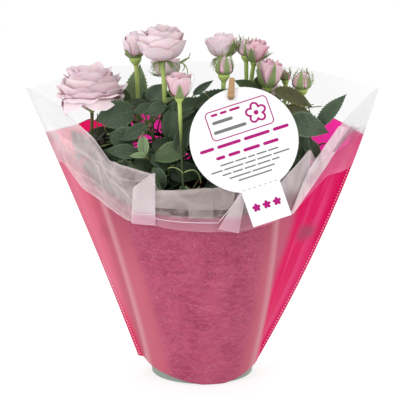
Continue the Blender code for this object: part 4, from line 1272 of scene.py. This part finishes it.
def hides_or_closes(spots):
    """True for leaflets that lie before a near leaf, in a gap, above the skyline or inside a bloom."""
    seen = seen_at(spots)
    bad = seen[..., 1] > np.interp(seen[..., 0], *np.array(SKYLINE).T * MM) - SKY_ROOM
    for foot, tip, breadth in zip(near_foot, near_tip, near_breadth):
        close = line_distance(seen, seen_at(np.array([foot, tip]))) < 0.5 * breadth + LEAF_ROOM
        bad |= close & (spots[..., 1] < foot[1] + BEHIND_ROOM)
    for x, z, radius in np.array(GAPS) * MM:
        bad |= np.hypot(seen[..., 0] - x, seen[..., 1] - z) < radius + GAP_ROOM
    for low, high in bloom_boxes:
        bad |= ((spots > low - BLOOM_ROOM) & (spots < high + BLOOM_ROOM)).all(-1)
    return bad


print(len(NEAR_LEAVES), "near leaves, and", len(GAPS), "gaps are kept open")

# %% [markdown]
# ## All the other leaves
# Scattering by particles would put leaves anywhere. A plant puts them along its twigs, so each leaf
# starts on a twig, points partly along it, partly outwards and partly its own way round, and turns its
# upper side to the light. All of this is drawn once, as whole arrays.

# %% leaf places
LEAF_SHARES = (0.50, 0.70, 0.86, 1.0)  # along the twig
LEAFLET_LENGTH, STALK_LENGTH, STALK_SAG = 31 * MM, 1.15, 0.18
PAIRS = ((0.0, 1.0, 0.0), (0.34, 0.86, 1.0), (0.34, 0.86, -1.0), (0.66, 0.7, 1.0), (0.66, 0.7, -1.0))
PAIR_ANGLE = math.radians(58)


def leaf_places():
    """Origin, direction, normal and size of every leaf, and the number of its twig."""
    rng = np.random.default_rng(8)
    twigs, order = (grid.ravel() for grid in np.indices((len(twig_paths), len(LEAF_SHARES))))
    step = np.round(np.array(LEAF_SHARES)[order] * (TWIG_STEPS - 1)).astype(int)
    origin = twig_paths[twigs, step]
    outward = unit(origin - twig_middles[twigs] + np.array([0, 0, 6 * MM]))
    around = around_z(1.0, GOLDEN_ANGLE * order + rng.uniform(0, 2 * np.pi, len(twigs)), 0.0)
    ahead = unit(origin - twig_paths[twigs, step - 1])
    shake = rng.normal(0, 0.15, (len(twigs), 3))
    direction = unit(0.55 * ahead + 0.75 * around + 0.55 * outward + [0, 0, -0.12] + shake)
    normal = unit(0.9 * outward + [0, 0, 0.75] + rng.normal(0, 0.22, (len(twigs), 3)))
    return origin, direction, normal, LEAFLET_LENGTH * rng.uniform(0.72, 1.15, len(twigs)), twigs


def along_stalk(share, origin, direction, normal, size):
    """A point of each leaf's stalk: straight out, sagging with the square of the way."""
    up = np.cross(unit(np.cross(direction, normal)), direction)
    stalk = STALK_LENGTH * size[:, None]
    return origin + direction * stalk * share - up * stalk * STALK_SAG * share**2


def leaflets_of(origin, direction, normal, size):
    """Foot, direction and size of five leaflets for each leaf: the pairs stand off the stalk."""
    side = unit(np.cross(direction, normal))
    spots, ways, sizes = [], [], []
    for back, scale, hand in PAIRS:
        spots.append(along_stalk(1 - back, origin, direction, normal, size))
        ways.append(direction * math.cos(PAIR_ANGLE * abs(hand)) + side * hand * math.sin(PAIR_ANGLE))
        sizes.append(size * scale)
    return np.stack(spots, 1), np.stack(ways, 1), np.stack(sizes, 1)


print(len(twig_paths) * len(LEAF_SHARES), "leaves of", len(PAIRS), "leaflets, before any is left out")

# %% [markdown]
# A blade's two greens lie in small clouds, and side veins and a painted highlight along the rim follow
# its UV map, where 0.5 across is the midrib. A Voronoi pattern gives the fine net of veins as relief.
# The five finishes differ only in tint and gloss, so one function makes them all.

# %% leaf finishes
def leaf_finish(name, dark, light, roughness):
    """A blade: small clouds of two greens, pale side veins, a painted highlight along the rim, fine vein
    relief, and a soft gloss.
    """
    leaf = speckled(name, roughness, (EVEN, 80, 3), dark, light, Specular_IOR_Level=0.32)
    do = leaf.math
    vein = leaf.add("TexVoronoi", {"Vector": leaf.place(), "Scale": 420}, feature="DISTANCE_TO_EDGE")
    off_middle = do("ABSOLUTE", do("SUBTRACT", leaf.axis(0, "UV"), 0.5))
    slant = do("SUBTRACT", do("MULTIPLY", leaf.axis(1, "UV"), 8.0), do("MULTIPLY", off_middle, 6.0))
    side_vein = leaf.between(do("PINGPONG", slant, 0.5), 0.0, 0.12, 0.2, 0.0)
    # painted highlight: each blade is paler along its rim, as where its edge catches the light
    rim = leaf.between(off_middle, 0.43, 0.5, 0.0, 0.55)
    for share, factor, extra in ((side_vein, 1.35, 12), (rim, 1.5, 14)):
        leaf.over(share, tuple(min(255, factor * c + extra) for c in light))
    return leaf.bump(vein.outputs["Distance"], 0.0003)


LEAF_COLOURS = {  # two greens, roughness, and the share of the twigs that have this colour
    "dark": ((42, 57, 39), (61, 78, 54), 0.46, 0.60),
    "mid": ((60, 79, 47), (82, 102, 62), 0.44, 0.17),
    "young": ((100, 124, 84), (128, 149, 108), 0.46, 0.05),
    "olive": ((62, 62, 36), (92, 92, 50), 0.4, 0.06),
    "grey": ((56, 72, 54), (84, 101, 78), 0.4, 0.12),
}
leaf_colours = {name: leaf_finish("leaf_" + name, *row[:3]) for name, row in LEAF_COLOURS.items()}
leaf_rib = speckled("leaf_rib", 0.5, (EVEN, 300), (60, 76, 48), (84, 100, 66))
print(len(leaf_colours), "kinds of blade")


# %% leaves
def make_leaves():
    """All leaves: one piece of blades for each colour, one of midribs and one of stalks."""
    rng = np.random.default_rng(12)
    *places, twigs = leaf_places()
    shares = [row[3] for row in LEAF_COLOURS.values()]
    colours = rng.choice(len(leaf_colours), len(twig_paths), p=shares)[twigs][:, None]
    spots, ways, sizes = leaflets_of(*places)
    normals = places[2][:, None] + rng.normal(0, 0.16, spots.shape)
    kept = ~hides_or_closes(keep_inside(spots + 0.5 * unit(ways) * sizes[..., None]))
    everything = (spots, ways, normals, sizes)
    for number, (colour, finish) in enumerate(leaf_colours.items()):
        chosen = kept & (colours == number)
        blades = keep_inside(placed(LEAFLET, *[part[chosen] for part in everything]))
        sheets("leaves_" + colour, blades, finish, list(masses) if number == 0 else ())
    ribs = rib_blocks(LEAFLET, *[part[kept] for part in everything])
    sheets("leaf_midribs", keep_inside(ribs), leaf_rib)
    places = [part[kept.any(1)] for part in places]
    paths = keep_inside(np.stack([along_stalk(share, *places) for share in np.linspace(0, 1, 5)], 1))
    tubes("leaf_stalks", paths, np.linspace(0.75 * MM, 0.45 * MM, 5), 5, green_skin)


def make_near_leaves():
    """Near leaves face forwards and up. Each has a stalk that comes from the nearest twig."""
    rng = np.random.default_rng(14)
    along = near_tip - near_foot
    length = np.linalg.norm(along, axis=-1)
    facing = np.array([0, -1.0, 0.55]) + rng.normal(0, 0.22, near_foot.shape)
    everything = (near_foot, along, facing, length, near_breadth / (0.67 * length))
    for colour, finish in leaf_colours.items():
        blades = placed(NEAR_LEAFLET, *[part[near_colour == colour] for part in everything])
        sheets("near_leaves_" + colour, keep_inside(blades), finish)
    sheets("near_midribs", keep_inside(rib_blocks(NEAR_LEAFLET, *everything[:4])), leaf_rib)
    hubs = twig_paths[:, TWIG_STEPS // 3 :].reshape(-1, 3)
    nearest = hubs[np.argmin(np.linalg.norm(near_foot[:, None] - hubs, axis=-1), 1)]
    paths = keep_inside(bend(near_foot, near_foot - 0.35 * along - np.array([0, 0, 4 * MM]), nearest, 10))
    tubes("near_stalks", paths, np.linspace(0.6 * MM, 1.0 * MM, 10), 6, green_skin)


make_leaves()
make_near_leaves()

# %% [markdown]
# ## Kinds of bloom
# Six kinds stand on this plant: an open rose whose rims lie in tiers, half open roses shaped like
# bowls, a cup with a flaring rim, buds that open, closed buds that show colour, and green buds. A
# petal's middle line is a quadratic curve in radius and height, from the hip by way of a belly to the
# rim. Each kind gives rim and belly for five petals from the innermost to the outermost, and every
# petal takes its share. At the lip the petal rolls out, its sides peel away, and a ruffle runs along
# the rim. The block is then fitted to the width of the flower.

# %% kinds of bloom
DEGREE = math.pi / 180
KNOTS = (0, 0.25, 0.5, 0.75, 1)
KINDS = {  # for each knot: rim height and radius, belly height and radius, as shares of height and half width
    "open": dict(
        count=37, hip=0.05, span=(72, 42), roll=0.13, peel=0.05, ruffle=0.050,
        rim=((0.84, 0.98, 0.80, 0.46, 0.04), (0.12, 0.54, 0.84, 1.00, 0.80)),
        belly=((0.45, 0.36, 0.26, 0.28, 0.50), (0.30, 0.62, 0.88, 0.98, 1.12))),
    "half": dict(
        count=26, hip=0.09, span=(84, 46), roll=0.10, peel=0.09, ruffle=0.034,
        rim=((0.92, 1.00, 0.96, 0.78, 0.50), (0.12, 0.40, 0.70, 0.93, 1.00)),
        belly=((0.45, 0.30, 0.16, 0.04, 0.00), (0.26, 0.54, 0.84, 1.00, 0.92))),
    "bud": dict(
        count=15, hip=0.24, span=(90, 56), roll=0.09, peel=0.08, ruffle=0.024,
        rim=((1.00, 0.99, 0.95, 0.88, 0.78), (0.06, 0.20, 0.42, 0.70, 0.94)),
        belly=((0.45, 0.34, 0.24, 0.14, 0.04), (0.34, 0.66, 0.94, 1.12, 1.12))),
    "opening": dict(
        count=15, hip=0.15, span=(86, 44), roll=0.12, peel=0.15, ruffle=0.030,
        rim=((1.00, 0.99, 0.97, 0.90, 0.82), (0.06, 0.24, 0.52, 0.86, 1.06)),
        belly=((0.45, 0.34, 0.20, 0.08, 0.00), (0.32, 0.58, 0.80, 0.94, 0.92))),
    "cup": dict(
        count=20, hip=0.14, span=(80, 48), roll=0.14, peel=0.12, ruffle=0.040,
        rim=((0.94, 1.00, 0.98, 0.90, 0.74), (0.10, 0.36, 0.66, 0.94, 1.08)),
        belly=((0.40, 0.26, 0.12, 0.02, -0.04), (0.28, 0.58, 0.86, 1.02, 1.04))),
    "green": dict(
        count=10, hip=0.30, span=(95, 70), roll=0.02, peel=0.02, ruffle=0.006,
        rim=((1.00, 0.98, 0.94, 0.90, 0.84), (0.04, 0.10, 0.20, 0.32, 0.46)),
        belly=((0.45, 0.34, 0.26, 0.16, 0.06), (0.44, 0.74, 1.04, 1.34, 1.46))),
}


def rose_petals(kind, width, height, seed, rows=18, cols=15):
    """Petals of one flower round the z axis, fitted to its width and height."""
    recipe = KINDS[kind]
    rng = np.random.default_rng(seed)
    count = recipe["count"]
    share = np.linspace(0, 1, count)
    turn = GOLDEN_ANGLE * np.arange(count) + rng.uniform(0, 6.3)
    shakes = rng.normal(1, 0.03, (2, count))
    rim_z, rim_r = (np.interp(share, KNOTS, row) * shake for row, shake in zip(recipe["rim"], shakes))
    belly_z, belly_r = (np.interp(share, KNOTS, row) for row in recipe["belly"])
    span = np.interp(share, (0, 1), recipe["span"]) * DEGREE * rng.uniform(0.88, 1.12, count)
    phase, phase_two = rng.uniform(0, 6.3, (2, count, 1, 1))
    rim_z, rim_r, belly_z, belly_r, span, turn = (
        value[:, None, None] for value in (rim_z, rim_r, belly_z, belly_r, span, turn))
    across = np.linspace(-1, 1, cols)
    t = np.linspace(0, 1, rows)[:, None] * (1 - 0.22 * np.abs(across) ** 3)
    lip = recipe["roll"] * np.clip((t - 0.74) / 0.26, 0, 1) ** 2
    wave = recipe["ruffle"] * (np.sin(4.5 * across + phase) + 0.6 * np.sin(9 * across + phase_two)) * t**4
    radius = 2 * t * (1 - t) * belly_r + t**2 * rim_r + 0.06 * (1 - t) ** 2
    radius = radius + lip * (0.3 + 0.7 * rim_r) + recipe["peel"] * np.abs(across) ** 3 * t**2 + wave
    z = 2 * t * (1 - t) * belly_z + t**2 * rim_z - 0.55 * lip + 0.8 * wave
    radius = radius * (width / 2) / np.percentile(radius, 99.3)
    z = (recipe["hip"] + z * (1 - recipe["hip"]) / z.max()) * height
    return around_z(radius, turn + across * span * (0.45 + 0.55 * smoothstep(0, 0.55, t)), z)


def outline_of(petals, bins=24):
    """Heights, and the flower's outer radius at each of them."""
    radius, z = np.hypot(petals[..., 0], petals[..., 1]).ravel(), petals[..., 2].ravel()
    levels = np.linspace(z.min(), z.max(), bins)
    widest = np.zeros(bins)
    np.maximum.at(widest, np.round((z - z.min()) / (levels[1] - levels[0])).astype(int), radius)
    return levels, np.convolve(np.pad(widest, 2, mode="edge"), np.full(5, 0.2), "valid")


print({kind: recipe["count"] for kind, recipe in KINDS.items()}, "petals")


# %% [markdown]
# Five sepals stand under the petals. They clasp a bud, and then each lies on the outside of the petals:
# its middle line follows the flower's own outline. Under an older flower they spread or hang, on a
# quadratic curve. Thin green lobes branch off both edges of a sepal, like a feather.

# %% sepals and hips
SEPAL_ROWS, SEPAL_COLS, LOBE_ROWS = 17, 7, (5, 7, 9, 11)
MIXED_SEPALS = (("clasp", "spread", "hang"), 5, True, (0.5, 0.25, 0.25))  # five drawn, with their shares
SEPAL_WIDTH, FREE_SEPAL_WIDTH = 4.8 * MM, 2.5 * MM  # half widths at the foot, on the petals and off them
STEM_END, WIDEST_HIP = 1.9 * MM, 6.0 * MM
SEPAL_CURVES = {  # control and end point, as radius and height in mm from the hip's rim
    "spread": ((7, -2), (15, 4)), "hang": ((7, 2), (9, -11)), "under": ((4, 3), (9, 8)),
}
SEPAL_REACH = {  # share of the flower's height, distance off the petals at the tip in mm, and its power
    "clasp": ((0.62, 1.00), (0.5, 3.0), 5), "short": ((0.38, 0.60), (0.5, 1.5), 3),
    "feathered": ((0.84, 1.12), (1.0, 5.0), 3), "upright": ((0.84, 1.06), (2.0, 6.0), 1.6),
    "low": ((0.44, 0.74), (0.5, 5.0), 3),
}


def hip_radius(width, hip):
    """The hip is as wide as its share of the flower allows, up to the widest."""
    return min(1.15 * hip * width, WIDEST_HIP)


def sepal_line(style, width, height, hip, profile, rng):
    """Radius and height along the middle of one sepal, and the half width of its foot."""
    if style in SEPAL_REACH:
        reach, stand_off, power = SEPAL_REACH[style]
        t, foot_z = np.linspace(0, 1, SEPAL_ROWS), (hip + 0.03) * height
        z = foot_z + t * (rng.uniform(*reach) * height - foot_z)
        radius = np.interp(z, *profile) + 0.5 * MM + rng.uniform(*stand_off) * MM * t**power
        return np.stack([radius, z], -1), min(0.24 * width, SEPAL_WIDTH)
    stretch = rng.uniform(0.8, 1.15)
    control, end = (np.array(point) * MM * stretch for point in SEPAL_CURVES[style])
    start = np.array([0.6 * hip_radius(width, hip), max(hip - 0.02, 0.02) * height])
    return bend(start, start + control, start + end, SEPAL_ROWS), FREE_SEPAL_WIDTH


def sepal_blades(style, width, height, hip, profile, seed):
    """Five narrow blades round the axis. Half width = widest (1.02 - t^0.9)^0.8 along the blade."""
    rng = np.random.default_rng(seed)
    turn = np.arange(5) * 2 * np.pi / 5 - np.pi / 2 + rng.uniform(-0.5, 0.5) + rng.normal(0, 0.12, 5)
    styles = rng.choice(*MIXED_SEPALS) if style == "mixed" else [style] * 5
    lines, widest = zip(*[sepal_line(kind, width, height, hip, profile, rng) for kind in styles])
    radius, z = np.moveaxis(np.array(lines), -1, 0)[..., None]
    t, u = np.linspace(0, 1, SEPAL_ROWS), np.linspace(-1, 1, SEPAL_COLS)
    half_width = np.array(widest)[:, None, None] * np.clip(1.02 - t[:, None] ** 0.9, 0, 1) ** 0.8
    turned = turn[:, None, None] + u * half_width / np.maximum(radius, 3 * MM)
    return around_z(radius - 0.10 * half_width * (1 - u**2), turned, z)


def sepal_lobes(blades, seed):
    """Thin curved tubes from the edges of sepals: out to the side, then forward."""
    rng = np.random.default_rng(seed)
    middle = blades[:, :, SEPAL_COLS // 2]
    aside = unit(blades[:, :, -1] - blades[:, :, 0] + 1e-9)
    ahead = unit(np.gradient(middle, axis=1))
    paths = []
    for row in LOBE_ROWS:
        for hand, side in ((-1, 0), (1, SEPAL_COLS - 1)):
            length = rng.uniform(3.5, 7.0, (len(blades), 1)) * MM
            start = 0.3 * middle[:, row] + 0.7 * blades[:, row, side]
            control = start + length * 0.5 * (hand * aside[:, row] + 0.3 * ahead[:, row])
            end = start + length * (0.7 * hand * aside[:, row] + 0.9 * ahead[:, row])
            paths.append(bend(start, control, end, 6))
    return np.concatenate(paths)


def hip_block(width, height, hip):
    """The green cup under a flower: it widens in an S from the stem to the petals, and closes there."""
    v = np.linspace(0, 1, 13)[:, None]
    closing = np.sqrt(1 - (np.clip(v - 0.66, 0, 1) / 0.34) ** 2 * 0.8)
    radius = (STEM_END + (hip_radius(width, hip) - STEM_END) * smoothstep(0, 0.66, v)) * closing
    radius[0] = radius[-1] = 0
    return around_z(radius, circle(20), v * (hip + 0.12) * height)


print("a hip under a wide flower is", round(2000 * hip_radius(1.0, 1.0), 1), "mm wide")


# %% [markdown]
# ## Where the flowers stand
# Each flower stands where its solid stands, at nearly the same size. The table adds what a solid can't
# say: which kind it is, its colour, its sepals, how it leans, and where in the foliage its stem starts.
# The last one is a side bud with no solid of its own. Bare side shoots and curled lobes grow low on
# the front stem and before the large bloom.

# %% where the flowers stand
FLOWERS = {  # kind, colour, sepals, middle, width and height, lean, and the stem's root (mm)
    "left_open": ("open", "pale", "under", (-103.5, -9, 275), (64, 47), (-0.03, 0.04), (-106, -8, 215)),
    "tall_left": ("bud", "pale", "short", (-64, 24, 308), (23, 35), (-0.08, -0.02), (-61, 8, 226)),
    "large": ("half", "pale", "hang", (-37, -12, 315.5), (47, 36), (-0.04, -0.02), (-34, -4, 226)),
    "behind_large": ("cup", "bright", "spread", (-34, 38, 289), (30, 23), (0.10, 0.10), (-24, 30, 226)),
    "front_bud": ("opening", "dusky", "clasp", (-21, -54, 281), (26, 30), (-0.04, -0.04), (-16, -72, 168)),
    "centre_tall": ("cup", "bright", "mixed", (19, 14, 311), (33, 26), (-0.05, -0.02), (16, -2, 226)),
    "centre_low": ("green", "blush", "feathered", (20, -26, 294), (16, 26), (0.02, -0.05), (17, -22, 226)),
    "right_tall": ("opening", "blush", "low", (50, 2, 307), (23, 28), (0.16, -0.05), (44, 0, 234)),
    "right_pair": ("opening", "blush", "clasp", (62, -10, 286.5), (26, 33), (0.06, -0.04), (60, -6, 232)),
    "right_green": ("green", "blush", "feathered", (93, -4, 278), (18, 27), (0.04, -0.05), (92, -2, 222)),
    "right_small": ("green", "deep", "feathered", (79, 22, 281), (10, 15), (-0.05, 0.10), (72, 14, 234)),
    "back_right": ("half", "pale", "mixed", (60, 36, 268), (28, 26), (0.10, 0.26), (44, 34, 224)),
    "back_left": ("half", "blush", "hang", (-69, 45, 254), (27, 25), (-0.12, 0.28), (-34, 34, 224)),
    "right_twin": ("green", "blush", "upright", (41, 6, 308), (14, 23), (-0.03, -0.02), (40, 2, 234)),
}
TENDRILS = [  # foot, control and tip in mm
    ((-21, -12, 299), (-13, -13, 300), (-11, -12, 308)), ((-21, -12, 299), (-14, -13, 304), (-11, -13, 303)),
    ((-20, -12, 299), (-14, -13, 297), (-18, -12, 291)), ((-19, -12, 299), (-12, -13, 295), (-14, -12, 287)),
    ((-24, -13, 298), (-19, -14, 293), (-23, -13, 290)), ((-17, -71, 205), (-23, -72, 213), (-31, -72, 210)),
    ((-16, -71, 206), (-3, -73, 214), (-1, -72, 196)), ((-15, -72, 193), (-8, -74, 187), (-2, -73, 194)),
]
print(len(FLOWERS), "flowers and", len(TENDRILS), "tendrils")

# %% [markdown]
# A petal is palest at its rim and warmer and darker at its foot, partly its own colour and partly painted
# shade of the crevices between petals. It lets some light through, which is a small subsurface weight.
# The UV map runs from foot to rim, so that each tint sits at its place on every petal, however it is
# bent. Stems are painted dark within the foliage, as shade, and stay fresh green above it.

# %% finishes of petals and stems
# the tint at the foot is partly painted shade of the crevices between petals
PETAL_TINTS = {  # at the foot, in the middle and at the rim
    "pale": ((224, 184, 188), (237, 213, 221), (243, 226, 231)),
    "blush": ((216, 160, 162), (238, 190, 204), (244, 208, 219)),
    "bright": ((246, 204, 208), (252, 229, 236), (251, 236, 241)),
    "dusky": ((204, 140, 150), (223, 182, 193), (233, 203, 212)),
    "deep": ((204, 140, 130), (222, 128, 156), (232, 160, 182)),
}


def petal_finish(name, foot, middle, rim):
    """A petal: its UV map runs from foot to rim, and three tints follow it, with fine veins along it."""
    petal = Finish(name, 0.6, Specular_IOR_Level=0.2, Subsurface_Weight=0.2, Subsurface_Scale=0.003)
    along = petal.axis(1, "UV")
    # darker at the foot: partly the petal's own warmer colour, partly painted shade of the crevices
    petal.colour(petal.mix(petal.between(along, 0.25, 0.62), foot, middle))
    petal.over(petal.between(along, 0.7, 1.0), rim)
    vein = petal.noise(petal.place((60, 2, 1), source="UV"), 1.0, 3)
    return petal.over(petal.math("MULTIPLY", vein, 0.16), (224, 188, 199)).bump(vein, 0.00015)


petal_colours = {colour: petal_finish("petal_" + colour, *tints) for colour, tints in PETAL_TINTS.items()}
sepal_green = leaf_finish("sepal_green", (106, 128, 74), (146, 163, 108), 0.5)
stem_green = speckled("stem_green", 0.42, ((1, 1, 0.2), 260, 3), (156, 182, 88), (196, 216, 126), bump=0.0002,
                      Specular_IOR_Level=0.35)
# painted shade: stems are dark below the top of the foliage
stem_green.over(stem_green.between(stem_green.axis(2), 0.225, 0.262, 1.0, 0.0), (60, 76, 40))
old_stem = speckled("old_stem", 0.5, ((1, 1, 0.2), 220, 3), (84, 70, 44), (112, 122, 66), bump=0.0002,
                    Specular_IOR_Level=0.3)
print(len(petal_colours), "colours of petal")

# %% [markdown]
# Now every flower is built round the z axis, tilted by its lean and moved to its foot. Blocks of one
# kind are joined into one piece each, as their sizes are equal, and every stem bends from the hip back
# to its root.

# %% flowers
STEM_STEPS, STEM_FOOT, STEM_TIP, SHOOT_RADIUS = 24, 2.1 * MM, 1.7 * MM, 1.15 * MM
TENDRIL_FOOT, TENDRIL_TIP, TENDRIL_STEPS = 0.65 * MM, 0.4 * MM, 14


def stand_up(block, foot, axis):
    """Turns a block round the z axis so that it stands along the flower's axis, and moves it to its foot."""
    side = unit(np.cross((0.0, 1.0, 0.0), axis))
    return foot + block @ np.stack([side, np.cross(axis, side), axis])


def end_to_end(node, slices=8):
    """The middle line of an upright solid: the mean of its points in equal slices of height."""
    points = node_points(node)
    edges = np.linspace(points[:, 2].min() - 1e-6, points[:, 2].max() + 1e-6, slices + 1)
    number = np.digitize(points[:, 2], edges) - 1
    return np.array([points[number == k].mean(0) for k in range(slices) if (number == k).any()])


def make_stems(paths):
    """The first stem is old and brown, and the bud in front has a thin one."""
    names = [stem for stem in ("stem_" + name for name in FLOWERS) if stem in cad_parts]
    thin = np.arange(len(paths)) == list(FLOWERS).index("front_bud")
    radii = np.where(thin[:, None], np.linspace(0.95, 0.58, STEM_STEPS), 1.0)
    radii = radii * np.linspace(STEM_FOOT, STEM_TIP, STEM_STEPS)
    tubes("old_stem", paths[:1], 0.8 * radii[:1], 12, old_stem, names[:1])
    tubes("flower_stems", paths[1:], radii[1:], 12, stem_green, names[1:])


def make_flowers():
    """All flowers: petals by colour, sepals with lobes, hips and stems, each kind joined into one piece."""
    petals, solids = ({colour: [] for colour in petal_colours} for _ in range(2))
    sepals, lobes, hips, stems = [], [], [], []
    for number, (name, (kind, colour, style, middle, size, lean, root)) in enumerate(FLOWERS.items()):
        axis = np.array([*lean, 1.0]) / math.hypot(*lean, 1.0)
        foot, root = (np.array(middle) - axis * size[1] / 2) * MM, np.array(root) * MM
        width, height, hip = size[0] * MM, size[1] * MM, KINDS[kind]["hip"]
        bloom = rose_petals(kind, width, height, 100 + number)
        petals[colour].append(stand_up(bloom, foot, axis))
        solids[colour] += ["bloom_" + name] * ("bloom_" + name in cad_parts)
        blades = sepal_blades(style, width, height, hip, outline_of(bloom), 200 + number)
        sepals.append(stand_up(blades, foot, axis))
        if style not in ("clasp", "short"):
            lobes.append(sepal_lobes(sepals[-1], 300 + number))
        hips.append(stand_up(hip_block(width, height, hip), foot, axis))
        below = foot - axis * 0.45 * np.linalg.norm(foot - root)
        stems.append(bend(foot + axis * 1.5 * MM, below, root, STEM_STEPS))
    for colour, finish in petal_colours.items():
        sheets("petals_" + colour, np.concatenate(petals[colour]), finish, solids[colour])
    sheets("sepals", np.concatenate(sepals), sepal_green)
    lobes, radii = np.concatenate(lobes), np.linspace(0.3 * MM, 0.16 * MM, 6)
    tubes("sepal_lobes", lobes, radii, 4, sepal_green)
    sheets("hips", hips, stem_green, wrap=True)
    make_stems(np.array(stems))


make_flowers()
tendrils = bend(*np.swapaxes(np.array(TENDRILS) * MM, 0, 1), TENDRIL_STEPS)
radii = np.linspace(TENDRIL_FOOT, TENDRIL_TIP, TENDRIL_STEPS)
tubes("tendrils", tendrils, radii, 6, sepal_green)
shoot = end_to_end("tag_shoot")[None]
tubes("tag_shoot_stem", shoot, SHOOT_RADIUS, 10, stem_green, ["tag_shoot"])
